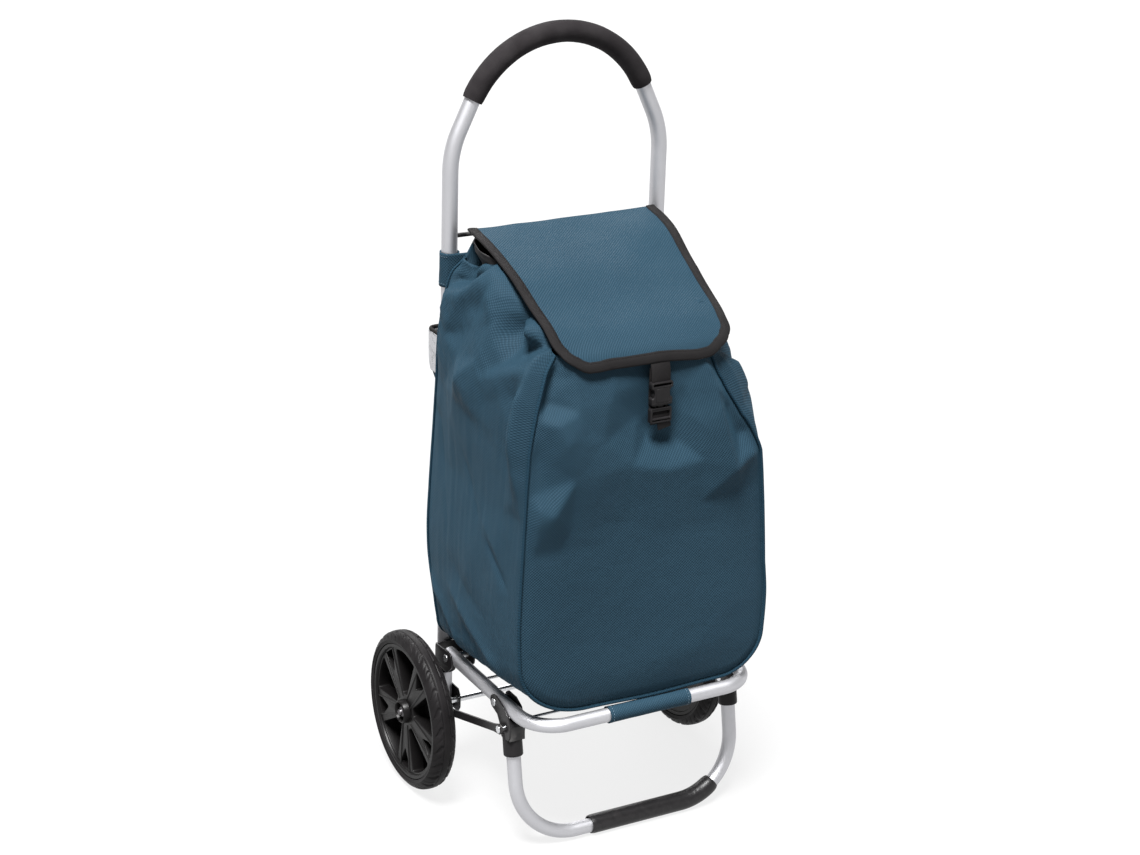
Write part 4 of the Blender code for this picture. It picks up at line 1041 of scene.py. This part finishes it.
def gusset_point(index, share):
    """A point of the gusset between the front seam (share 0) and the rear seam (share 1)."""
    drawn_in, below_flap, left_drop, rear_bulge = 0.010, 0.007, 0.017, 0.014
    (fx, fz), (rx, rz) = FRONT_RUN[index], REAR_RUN[index]
    fy = seam_front(fz)
    x, z, y = fx + (rx - fx) * share, fz + (rz - fz) * share, fy + (REAR_Y - fy) * share
    out = outward(FRONT_RUN, index).lerp(outward(REAR_RUN, index), share).normalized()
    side = -1 if index < len(FRONT_RUN) / 2 else 1
    upright = smoothstep(0.3, 0.9, abs(out.x))
    # Under the flap the cloth is gathered in and up, almost to the flap's underside.
    row = min(index, len(FRONT_RUN) - 1 - index) / SIDE_ROWS
    gather = smoothstep(0.22, 0.0, row) * (1 - 0.75 * smoothstep(0.74, 0.93, share))
    gather *= smoothstep(0.0, 0.10, share)
    if gather > 0:
        x -= side * drawn_in * gather
        z += (flap_height(x, y) - below_flap - z) * gather * smoothstep(0.22, 0.0, row)
    if side < 0:
        z -= left_drop * smoothstep(0.12, 0.0, row) * smoothstep(0.66, 0.84, share)
    depth = 0.005 * sin(pi * share) * upright * smoothstep(0.66, 0.50, z)
    depth += sum(fold(y, z, *f) for f in (LEFT_FOLDS if side < 0 else RIGHT_FOLDS)) * upright
    depth += FACET_GAIN * facet_height(LEFT_FACETS if side < 0 else RIGHT_FACETS, y, z) * upright
    spot = Vector((y, z, 4.0 + side))
    depth += (0.0008 + 0.0016 * smoothstep(0.50, 0.66, z)) * crumple(spot, 17.0, 0.8) * upright
    # Fine pulls: upright ones low on the side, slanting ones under the flap.
    high = smoothstep(0.56, 0.64, z)
    depth += 0.0010 * noise.noise(Vector((y * 110, z * 9, side))) * (1 - high) * upright
    depth += 0.0019 * noise.noise(Vector(((y + z) * 20, (y - z) * 175, side))) * high * upright
    if side > 0:
        depth += 0.019 * sin(pi * min(1.0, share * 2.2)) ** 2 * smoothstep(0.50, 0.57, z)
    depth *= smoothstep(0.0, 0.045, share) * smoothstep(1.0, 0.95, share)
    inset = min(share, 1 - share)
    depth += seam_dip(inset * (REAR_Y - fy)) * smoothstep(0.0, 0.004, inset)
    point = at(x, y, z) + out * depth * (1 - 0.3 * gather)
    # The rear edge bulges past the uprights where the load presses it out.
    past = smoothstep(0.160, 0.170, abs(point.x)) * smoothstep(0.24, 0.33, z) * smoothstep(0.62, 0.45, z)
    point.y += rear_bulge * past * smoothstep(0.80, 1.0, share)
    return point


def make_gusset():
    """Band of cloth around the sides and the bottom of the bag."""
    across = 120
    rows = []
    for k in range(across + 1):
        share = spread(k, across)
        rows.append([gusset_point(i, share) for i in range(len(FRONT_RUN))])
    return sheet("bag_gusset", rows, CLOTH, CLOTH_THICKNESS)


def make_rear_panel():
    """Flat back of the bag, between the uprights."""
    count = SIDE_ROWS + CORNER_ROWS + 1
    rows, across = [], 70
    for index in range(count):
        left, right = gusset_point(index, 1.0), gusset_point(len(REAR_RUN) - 1 - index, 1.0)
        row = []
        for k in range(across + 1):
            point = left.lerp(right, k / across)
            edge = smoothstep(0.0, 0.025, min(point.x - left.x, right.x - point.x))
            flat = REAR_Y + AXLE_Y - 0.0015 - 0.0025 * crumple(Vector((point.x, point.z, 9.0)), 14.0, 0.7)
            point.y += (flat - point.y) * edge
            row.append(point)
        rows.append(row)
    # Above the sides' top the panel runs on up to the flap's hinge.
    top = rows[0]
    for step in range(1, 5):
        share = step / 4
        row = []
        for point in top:
            x = point.x * (1 - 0.13 * share)
            roof = flap_point(0.0, min(max(x / 0.131, -1.0), 1.0)).z - 0.0022
            row.append(Vector((x, point.y + (AXLE_Y + REAR_Y - point.y) * share,
                               point.z + (roof - point.z) * share)))
        rows.insert(0, row)
    return sheet("bag_rear", rows, CLOTH, CLOTH_THICKNESS)


def make_piping():
    """Corded seams around the front and the rear panel."""
    front = [at(x, seam_front(z) - 0.0006, z) + outward(FRONT_RUN, i) * 0.0008
             for i, (x, z) in enumerate(FRONT_RUN)]
    rear = [gusset_point(i, 1.0) + outward(REAR_RUN, i) * 0.0006 for i in range(len(REAR_RUN))]
    return tube("piping_front", front, 0.0021, PIPING, 12), tube("piping_rear", rear, 0.0015, PIPING, 12)


def make_collar():
    """Crumpled nylon collar that rises inside the bag's rim, as high as the flap lets it."""
    corner, steps = 0.034, 14
    left, right, front, rear = -0.131, 0.110, -0.208, -0.015
    corners = ((right - corner, rear - corner, 0), (left + corner, rear - corner, 90),
               (left + corner, front + corner, 180), (right - corner, front + corner, 270))
    outline = []
    for x, y, start in corners:
        for step in range(steps):
            a = radians(start + 90 * step / (steps - 1))
            outline.append((x + corner * cos(a), y + corner * sin(a), cos(a), sin(a)))
    ring = []
    for a, b in zip(outline, outline[1:] + outline[:1]):
        count = max(1, round(hypot(b[0] - a[0], b[1] - a[1]) / 0.003))
        ring += [tuple(a[m] + (b[m] - a[m]) * k / count for m in range(4)) for k in range(count)]
    rows = []
    for level in range(17):
        rise = -0.030 + 0.048 * level / 16
        row = []
        for x, y, nx, ny in ring:
            rim = 0.649 + (0.727 - 0.649) * (y - front) / (rear - front)
            narrow = 0.028 * smoothstep(-0.05, -0.12, y) * (1 if x < 0 else 1.3) * abs(nx)
            full = smoothstep(-0.10, -0.05, y) * smoothstep(-0.09, -0.12, x)
            push = 0.0050 * noise.noise(Vector((x * 55, y * 55, level * (0.13 + 0.17 * full))))
            push += (0.013 * full - 0.004) * smoothstep(-0.015, 0.004, rise)
            push -= 0.012 * (1 - full) * smoothstep(0.008, 0.020, rise)
            px, py = x + nx * (push - narrow), y + ny * push
            top = flap_height(px, py) - 0.0045
            z = min(rim + rise + 0.0030 * noise.noise(Vector((x, y, 0)) * 60), top)
            z += (top - z) * full * level / 16
            row.append(at(px, py, z))
        rows.append(row)
    return sheet("collar_cloth", rows, NYLON, 0.0007, close_u=True)


def flatten(obj):
    """Give a piece a mesh of its own."""
    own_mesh(obj)


def make_bag():
    """Panels, seams, collar and base board."""
    front, (front_cord, rear_cord) = make_front_panel(), make_piping()
    for piece, *nodes in ((front, "bag_shell"), (front_cord, "front_piping"), (make_gusset(),),
                          (make_rear_panel(),), (rear_cord,)):
        flatten(place(piece, "frame", "blue_cloth", *nodes))
    flatten(place(make_collar(), "frame", "black_cloth", "drawstring_collar"))
    flatten(refined("base_board", BOARD, 0.0008, "board"))


# ---------------------------------------------------------------- flap
# The flap seen from the side: share of its length, y and z.
FLAP_SIDE = ((0.0, -0.003, 0.7445), (0.20, -0.056, 0.7320), (0.42, -0.112, 0.7125),
             (0.60, -0.160, 0.6915), (0.78, -0.205, 0.6735), (0.90, -0.232, 0.6570),
             (0.96, -0.2425, 0.6465), (1.0, -0.2475, 0.6355))
# Along the flap: how far its left and its right edge reach, and how far each stands above the middle.
FLAP_EDGES = ((0.0, 0.131, 0.131, 0.001, 0.001), (0.15, 0.134, 0.130, 0.005, 0.001),
              (0.45, 0.135, 0.126, 0.012, -0.010), (0.65, 0.132, 0.122, 0.006, -0.017),
              (0.80, 0.131, 0.114, 0.004, -0.016), (1.0, 0.130, 0.104, -0.002, -0.010))
FLAP_LENGTH = 0.272
FLAP_CORNER = 0.050


def flap_half(share, side):
    """Half width of the flap, rounded at its free corners."""
    half = hermite(FLAP_EDGES, share)[0 if side < 0 else 1]
    past = (share - 1) * FLAP_LENGTH + FLAP_CORNER
    if past > 0:
        half -= FLAP_CORNER - sqrt(max(FLAP_CORNER ** 2 - past ** 2, 0.0))
    return half


def flap_point(share, across):
    """A point of the flap: share runs from its hinge to its free edge, across from -1 to 1."""
    y, z = hermite(FLAP_SIDE, share)
    x = across * flap_half(share, across)
    lift = hermite(FLAP_EDGES, share)[2 if across < 0 else 3] * (abs(x) / 0.13) ** 2.2
    wave = 0.0030 * noise.noise(Vector((x * 14, share * 3.5, 2.0))) * smoothstep(0.0, 0.15, share)
    wave += 0.0022 * sin(share * 9.0 + 0.8) * smoothstep(0.5, 1.0, across) * smoothstep(0.1, 0.3, share)
    wave += 0.0010 * crumple(Vector((x, share * 0.27, 7.0)), 15.0, 0.8)
    return at(x, y, z + lift + wave)


def flap_height(x, y):
    """About how high the flap passes over a point."""
    share = min(max((-0.003 - y) / 0.2445, 0.0), 1.0)
    share = min(share * (1.0 - 0.06 * share) + 0.02, 0.97)
    return flap_point(share, x / flap_half(share, x)).z


def flap_normal(share, across):
    """Upward normal of the flap."""
    step = 0.004
    a = flap_point(min(share + step, 1.0), across) - flap_point(max(share - step, 0.0), across)
    b = flap_point(share, min(across + step, 1.0)) - flap_point(share, max(across - step, -1.0))
    normal = a.cross(b).normalized()
    return normal if normal.z > 0 else -normal


def flap_edge():
    """The flap's bound edge as (share, across) pairs: down the left, along the front, up the right."""
    left = [(k / 120, -1.0) for k in range(121)]
    front = [(1.0, -1.0 + 2.0 * k / 60) for k in range(1, 60)]
    right = [(k / 120, 1.0) for k in range(120, -1, -1)]
    return left + front + right


def make_flap():
    """Flap with its black binding and its stitches."""
    along, across = 120, 80
    rows = []
    for j in range(along + 1):
        share = 1 - (1 - j / along) ** 1.15
        rows.append([flap_point(share, -1 + 2 * i / across) for i in range(across + 1)])
    panel = sheet("flap_cloth", rows, CLOTH, 0.0016)
    place(panel, "flap", "blue_cloth", "flap_panel")
    flatten(panel)
    edge = flap_edge()
    points = [flap_point(*e) for e in edge]
    normals = [flap_normal(*e) for e in edge]
    inward = []
    for i, normal in enumerate(normals):
        ahead = (points[min(i + 2, len(points) - 1)] - points[max(i - 2, 0)]).normalized()
        inward.append(normal.cross(ahead).normalized())
    inward = [sum(inward[max(i - 3, 0):i + 4], Vector()).normalized() for i in range(len(inward))]
    width = across + 1
    quads = [(j * width + i, j * width + i + 1, (j + 1) * width + i + 1, (j + 1) * width + i)
             for j in range(along) for i in range(across)]
    cloth = BVHTree.FromPolygons([point for row in rows for point in row], quads)

    def over_cloth(point, distance, direction, height):
        """A point a distance in from the flap's edge and a height off its cloth."""
        if distance <= 0:
            return point + direction[0] * distance + direction[1] * height
        near, normal = cloth.find_nearest(point + direction[0] * distance)[:2]
        return near + (normal if normal.z > 0 else -normal) * height

    # Cross-section of the folded tape: distance in from the edge, height above the cloth.
    section = ((0.0118, 0.0009), (0.0112, 0.0019), (0.0060, 0.0022), (0.0010, 0.0021), (-0.0010, 0.0012),
               (-0.0014, 0.0), (-0.0010, -0.0012), (0.0010, -0.0021), (0.0060, -0.0022), (0.0112, -0.0019),
               (0.0118, -0.0009))
    rows = [[over_cloth(p, a, (i, n), b) for p, i, n in zip(points, inward, normals)] for a, b in section]
    binding = grid_mesh("flap_tape", rows, WEBBING, close_v=True)
    flatten(place(binding, "flap", "black_cloth", "flap_binding"))
    line = [over_cloth(p, 0.0098, (i, n), 0.0021) for p, i, n in zip(points, inward, normals)]
    flatten(place(stitches("tape_stitches", line, normals, 0.0024, 0.00028, WEBBING), "flap",
                  "black_cloth"))


def ribbon(name, path, half, thickness):
    """Flat webbing along a path, with its broad side towards the front."""
    front = Vector((0.0, -1.0, 0.0))
    rows = []
    for i, point in enumerate(path):
        ahead = (path[min(i + 1, len(path) - 1)] - path[max(i - 1, 0)]).normalized()
        out = (front - ahead * front.dot(ahead)).normalized()
        across = ahead.cross(out).normalized()
        t = thickness / 2
        loop = ((-half, -t * 0.4), (-half + t, -t), (half - t, -t), (half, -t * 0.4),
                (half, t * 0.4), (half - t, t), (-half + t, t), (-half, t * 0.4))
        rows.append([point + across * a + out * b for a, b in loop])
    return grid_mesh(name, rows, WEBBING, close_u=True, caps=True, sharp=60)


BUCKLE_Y = -0.252


def block(half, low, high, top_half=None):
    """Outline of a plate: its half width at the bottom and at the top, and its lowest and highest z."""
    top_half = top_half or half
    return [(-half, low), (half, low), (top_half, high), (-top_half, high)]


def moulding(name, outline, corner, holes, hole_corner, near, far, bevel, steps=2):
    """A moulded plate of the buckle, across Y, its corners rounded; near and far from its middle."""
    middle_y = BUCKLE_Y + AXLE_Y
    return plate(name, rounded(outline, corner, steps), [rounded(hole, hole_corner, 2) for hole in holes],
                 "Y", middle_y + near, middle_y + far, bevel, PLASTIC)


def buckle_bar(name, half, proud, z, radius, sides):
    """A level round bar on the buckle's front; it stands proud by some distance at its ends."""
    ends = [at(x, BUCKLE_Y - proud, z) for x in (-half, half)]
    return tube(name, ends, radius, PLASTIC, sides)


def make_webbing():
    """The strap from the flap to the buckle, the short strap behind it and its loose end."""
    half = 0.013
    drop = [at(0, y, z) for y, z in ((-0.2445, 0.640), (-0.2485, 0.634), (-0.2508, 0.626),
                                     (-0.2518, 0.618), (-0.2520, 0.6125))]
    flatten(place(ribbon("upper_webbing", drop, half, 0.0015), "flap", "black_cloth", "flap_strap"))
    behind = [at(0, y, z) for y, z in ((-0.2520, 0.5600), (-0.2532, 0.5645), (-0.2528, 0.5715),
                                       (-0.2495, 0.5760), (-0.2465, 0.5850), (-0.2462, 0.6050),
                                       (-0.2464, 0.6300))]
    flatten(place(ribbon("lower_webbing", dense(behind, 0.003), half, 0.0014), "plug", "black_cloth",
                  "lower_strap"))
    tail = [at(0.004, -0.2545, 0.5660), at(0.005, -0.2542, 0.5590), at(0.006, -0.2538, 0.5540)]
    flatten(place(ribbon("webbing_tail", tail, 0.009, 0.0014), "plug", "black_cloth"))


def make_buckle():
    """Side-release buckle: socket, plug and two prongs."""
    right = [(0.0118, 0.5842), (0.0140, 0.5852), (0.0142, 0.5930), (0.0112, 0.5945), (0.0104, 0.5975),
             (0.0104, 0.6010), (0.0116, 0.6045), (0.0146, 0.6060), (0.0148, 0.6110), (0.0138, 0.6130)]
    outline = right + [(-x, z) for x, z in reversed(right)]
    shell = moulding("socket_body", outline, 0.0009, [block(0.0120, 0.6085, 0.6108)], 0.0008,
                     -0.0046, 0.0045, 0.0011)
    pad = moulding("socket_pad", block(0.0088, 0.5880, 0.6058), 0.003, [], 0.0, -0.0053, -0.0026,
                   0.0006, 4)
    lip = tube("lip", [at(-0.0125, BUCKLE_Y - 0.0046, 0.5872), at(0, BUCKLE_Y - 0.0049, 0.5872),
                       at(0.0125, BUCKLE_Y - 0.0046, 0.5872)], [0.0006, 0.0007, 0.0006], PLASTIC, 10)
    flatten(place(merge("socket_moulded", [shell, pad, lip]), "flap", "black_plastic", "buckle_socket"))
    outer = [(-0.0146, 0.5630), (-0.0132, 0.5618), (0.0132, 0.5618), (0.0146, 0.5630),
             (0.0146, 0.5785), (0.0128, 0.5812), (-0.0128, 0.5812), (-0.0146, 0.5785)]
    windows = [block(0.0118, 0.5640, 0.5658), block(0.0118, 0.5684, 0.5765)]
    body = moulding("plug_frame", outer, 0.0012, windows, 0.0007, -0.0036, 0.0035, 0.0009, 3)
    bars = [buckle_bar("bar", 0.0122, 0.0034, z, 0.0011, 12) for z in (0.5671, 0.5634)]
    tongue = moulding("tongue", block(0.0036, 0.5790, 0.6028, 0.0032), 0.001, [], 0.0,
                      -0.0018, 0.0018, 0.0005, 4)
    rim = buckle_bar("rim", 0.0130, 0.0038, 0.5805, 0.0007, 10)
    flatten(place(merge("plug_moulded", [body, *bars, tongue, rim]), "plug", "black_plastic",
                  "buckle_plug"))
    blade = [(0.0068, 0.5806), (0.0088, 0.5806), (0.0090, 0.5935), (0.0116, 0.5950), (0.0124, 0.5972),
             (0.0114, 0.6000), (0.0090, 0.6030), (0.0070, 0.6030)]
    for word, side in SIDES.items():
        loop = [(side * x, z) for x, z in blade][::side]
        prong = moulding(f"prong_{word}_moulded", loop, 0.0007, [], 0.0, -0.0020, 0.0020, 0.0005)
        flatten(place(prong, f"prong_{word}", "black_plastic", f"buckle_prong_{word}"))


# ---------------------------------------------------------------- back of the bag
def pocket_point(side_share, z_share, inset):
    """A point of the pocket's wall: from its left seam to its right one, and from bottom to top."""
    bottom, top, half, corner = 0.330, 0.600, 0.124, 0.010
    depths = ((0.0, 0.020), (0.12, 0.047), (0.5, 0.064), (1.0, 0.076))
    z = bottom + (top - bottom) * z_share
    deep = hermite(depths, z_share) - inset
    narrow = half - inset
    wide = narrow + 0.022 * smoothstep(0.55, 0.85, z_share)
    front = 0.0008 + inset
    turn = min(0.034, deep - corner - 0.001)
    outline = [(-narrow, front), (-narrow - 0.003 * z_share, turn - 0.008), (-wide, turn + 0.006),
               (-wide, deep - corner)]
    outline += arc((-wide + corner, deep - corner), corner, 180, 90, 5)[1:] + [(wide - corner, deep)]
    outline += arc((wide - corner, deep - corner), corner, 90, 0, 5)[1:]
    outline += [(wide, turn + 0.006), (narrow + 0.003 * z_share, turn - 0.008), (narrow, front)]
    lengths = [dist(a, b) for a, b in zip(outline, outline[1:])]
    distance = side_share * sum(lengths)
    for (a, b), length in zip(zip(outline, outline[1:]), lengths):
        if distance <= length + 1e-9:
            x, y = a[0] + (b[0] - a[0]) * distance / length, a[1] + (b[1] - a[1]) * distance / length
            break
        distance -= length
    sag = 0.004 * z_share ** 3 * abs(sin(5 * x / narrow))
    y += (0.0035 * crumple(Vector((x, z, 20.0)), 15.0, 0.7) - sag) * sin(pi * side_share)
    return at(x, max(y, front), z + 0.004 * noise.noise(Vector((x * 18, 3, 0))) * z_share)


def make_pocket():
    """Insulated rear pocket with a gaping mouth, its foil lining, bound edge and floor."""
    steps = 60

    def wall(low, rise, count, inset):
        """A grid over part of the pocket's height."""
        return [[pocket_point(i / steps / 2, low + rise * j / count, inset)
                 for i in range(2 * steps + 1)] for j in range(count + 1)]

    rows = wall(0.0, 1.0, 50, 0.0)
    foot = rows[0]
    floor = [[foot[i].lerp(foot[2 * steps - i], k / 12) for i in range(steps + 1)] for k in range(13)]
    place(sheet("pocket_cloth", rows, CLOTH, 0.0014), "frame", "blue_cloth", "rear_pocket")
    place(sheet("pocket_floor", floor, CLOTH, 0.0014), "frame", "blue_cloth")
    place(sheet("pocket_foil", wall(0.03, 0.965, 50, 0.0032), FOIL, 0.0006), "frame", "foil",
          "pocket_lining")
    place(sheet("foil_cuff", wall(0.80, 0.195, 16, -0.0020), FOIL, 0.0006), "frame", "foil")
    mouth = [p + Vector((0, 0, 0.0005)) for p in rows[-1]]
    place(tube("pocket_tape", mouth, 0.0021, WEBBING, 10), "frame", "black_cloth")


def make_loops():
    """Cloth loops that hold the bag's upper corners to the uprights."""
    low, height, inner_y = 0.672, 0.043, 0.0035
    for word, side in SIDES.items():
        centre = at(side * UPRIGHT_X, UPRIGHT_Y, 0.0)
        rows = []
        for level in range(17):
            z = low + height * level / 16
            wrap = []
            for k in range(41):
                a = radians(-150 + 300 * k / 40) + pi / 2
                radius = 0.0118 + 0.0006 * noise.noise(Vector((k * 0.2, z * 60, side)))
                wrap.append(centre + Vector((radius * cos(a), radius * sin(a), z)))
            start, end = at(side * 0.132, inner_y, z), at(side * 0.128, inner_y, z)
            if side < 0:
                rows.append(wrap + [wrap[-1].lerp(start, 0.5), start, end])
            else:
                rows.append([end, start, wrap[0].lerp(start, 0.5)] + wrap)
        place(sheet(f"loop_{word}_cloth", rows, CLOTH, 0.0011), "frame", "blue_cloth", f"bag_loop_{word}")
        for level, z in (("low", 0.6760), ("high", 0.7110)):
            middle_point = centre + Vector((0, 0, z))
            line = [centre + Vector((0.0126 * cos(a), 0.0126 * sin(a), z))
                    for a in (radians(-60 + 300 * k / 50) for k in range(51))]
            normals = [(p - middle_point).normalized() for p in line]
            place(stitches(f"loop_{word}_stitches_{level}", line, normals, 0.0022, 0.0003, THREAD),
                  "frame", "blue_cloth")


# ---------------------------------------------------------------- small hardware
SHEET_METAL = 0.0023
CHEEK_FAR = 0.1663
# Cheeks of the bracket that holds the leg, and of the one that holds the platform: points
# (y, z) in millimetres.
LEG_CHEEK = metres((
    (-154.5, 185), (-156, 191.5), (-162, 196), (-170, 196.5), (-188, 190.5), (-201, 183), (-208.5, 172),
    (-207.5, 156), (-204.5, 150), (-187, 148), (-183, 154), (-181, 164), (-174, 173.5), (-158, 178.5)))
LEG_CHEEK_INNER = metres((
    (-154.5, 185), (-156, 191.5), (-162, 196), (-182, 196.2), (-196, 190), (-206, 172), (-204.5, 150),
    (-187, 148), (-183, 154), (-181, 164), (-174, 173.5), (-158, 178.5)))
DECK_CHEEK = metres((
    (1, 193.5), (-34, 196.8), (-42.5, 194.5), (-47, 187), (-45.5, 177.5), (-33, 166), (-24, 165),
    (1, 170)))
DECK_CHEEK_INNER = metres((
    (25.5, 188.5), (22.5, 193.5), (-34, 196.8), (-42.5, 194.5), (-47, 187), (-45.5, 177.5), (-33, 166),
    (-24, 165), (22, 165), (25.5, 170)))

# Rivet through the inner cheek and the upright, in millimetres: radius, distance from the middle.
BRACKET_RIVET = metres((
    (0.2, 132.7), (3.4, 132.9), (4.4, 133.5), (4.8, 134.3), (2.5, 134.3), (2.5, 157.1), (4, 157.1),
    (3.6, 158.2), (2.2, 158.8), (0.2, 158.9)))


def cheek(side, x, outline, round_off):
    """One cheek of a stamped bracket, at a distance from the trolley's middle."""
    ends = sorted((side * x, side * (x + SHEET_METAL)))
    moved = [(y + AXLE_Y, z) for y, z in outline]
    return plate("cheek", rounded(moved, round_off), [], "X", *ends, 0.0005, ENAMEL)


def web(side, near, far, line):
    """Curved sheet that joins two cheeks along a line of (y, z) points."""
    path = [at(0.0, y, z) for y, z in line]
    rows = []
    for k in range(9):
        x = side * (near + (far - near) * k / 8)
        rows.append([Vector((x, p.y, p.z)) for p in fillet(path, [0.006] * (len(path) - 2), 6)])
    return sheet("web", rows, ENAMEL, SHEET_METAL)


def make_brackets():
    """Stamped brackets at the platform's hinge and at the top of the leg."""
    kinds = (("leg_bracket", "leg", 0.1454, LEG_CHEEK, LEG_CHEEK_INNER, 0.0035,
              ((-0.1945, 0.1745), (-0.2045, 0.1690), (-0.2060, 0.1500))),
             ("rear_bracket", "frame", 0.1343, DECK_CHEEK, DECK_CHEEK_INNER, 0.0040,
              ((0.0010, 0.1930), (0.0022, 0.1800), (0.0022, 0.1680))))
    for word, side in SIDES.items():
        for kind, body, near, outer, inner, round_off, web_line in kinds:
            pieces = [cheek(side, CHEEK_FAR, outer, round_off), cheek(side, near, inner, round_off),
                      web(side, near + 0.001, CHEEK_FAR + 0.001, web_line)]
            place(merge(f"{kind}_{word}_stamped", pieces), body, "black_steel", f"{kind}_{word}")


def finish_hardware():
    """Rounded edges and finishes for the CAD's stamped and turned pieces."""
    for word in SIDES:
        refined(f"axle_bracket_{word}", ENAMEL, 0.0005, "black_steel")
        refined(f"stay_{word}", ENAMEL, 0.0006, "black_steel")
        _, rivet_y, rivet_z = middle(f"bracket_rivet_{word}")
        fixing = turned(f"bracket_rivet_{word}_headed", BRACKET_RIVET, (0.0, rivet_y, rivet_z),
                        SIDES[word], ZINC, 40)
        place(fixing, "frame", "zinc_steel", f"bracket_rivet_{word}")
        for node in (f"platform_pin_{word}", f"leg_pivot_{word}", f"leg_rivet_{word}",
                     f"stay_pin_{word}"):
            refined(node, ZINC, 0.0005, "zinc_steel", 3)
        refined(f"upright_collar_{word}", PLASTIC, 0.0009, "black_plastic", 3)
        refined(f"axle_spacer_{word}", PLASTIC, 0.0005, "black_plastic")
        recolour(f"wheel_bush_{word}", ZINC)
    refined("top_rod", ENAMEL, 0.0004, "black_steel")
    refined("axle", ZINC, 0.0005, "zinc_steel")
    for node in ("cross_wire_front", "cross_wire_rear"):
        refined(node, ZINC, 0.0004, "zinc_steel")


set_camera()
set_studio()
make_handle()
make_platform_tube()
make_leg_tube()
for word, side in SIDES.items():
    make_tyre(word, side)
    make_rim(word, side)
    make_axle_cap(word, side)
make_bag()
make_flap()
make_webbing()
make_buckle()
make_pocket()
make_loops()
make_brackets()
finish_hardware()
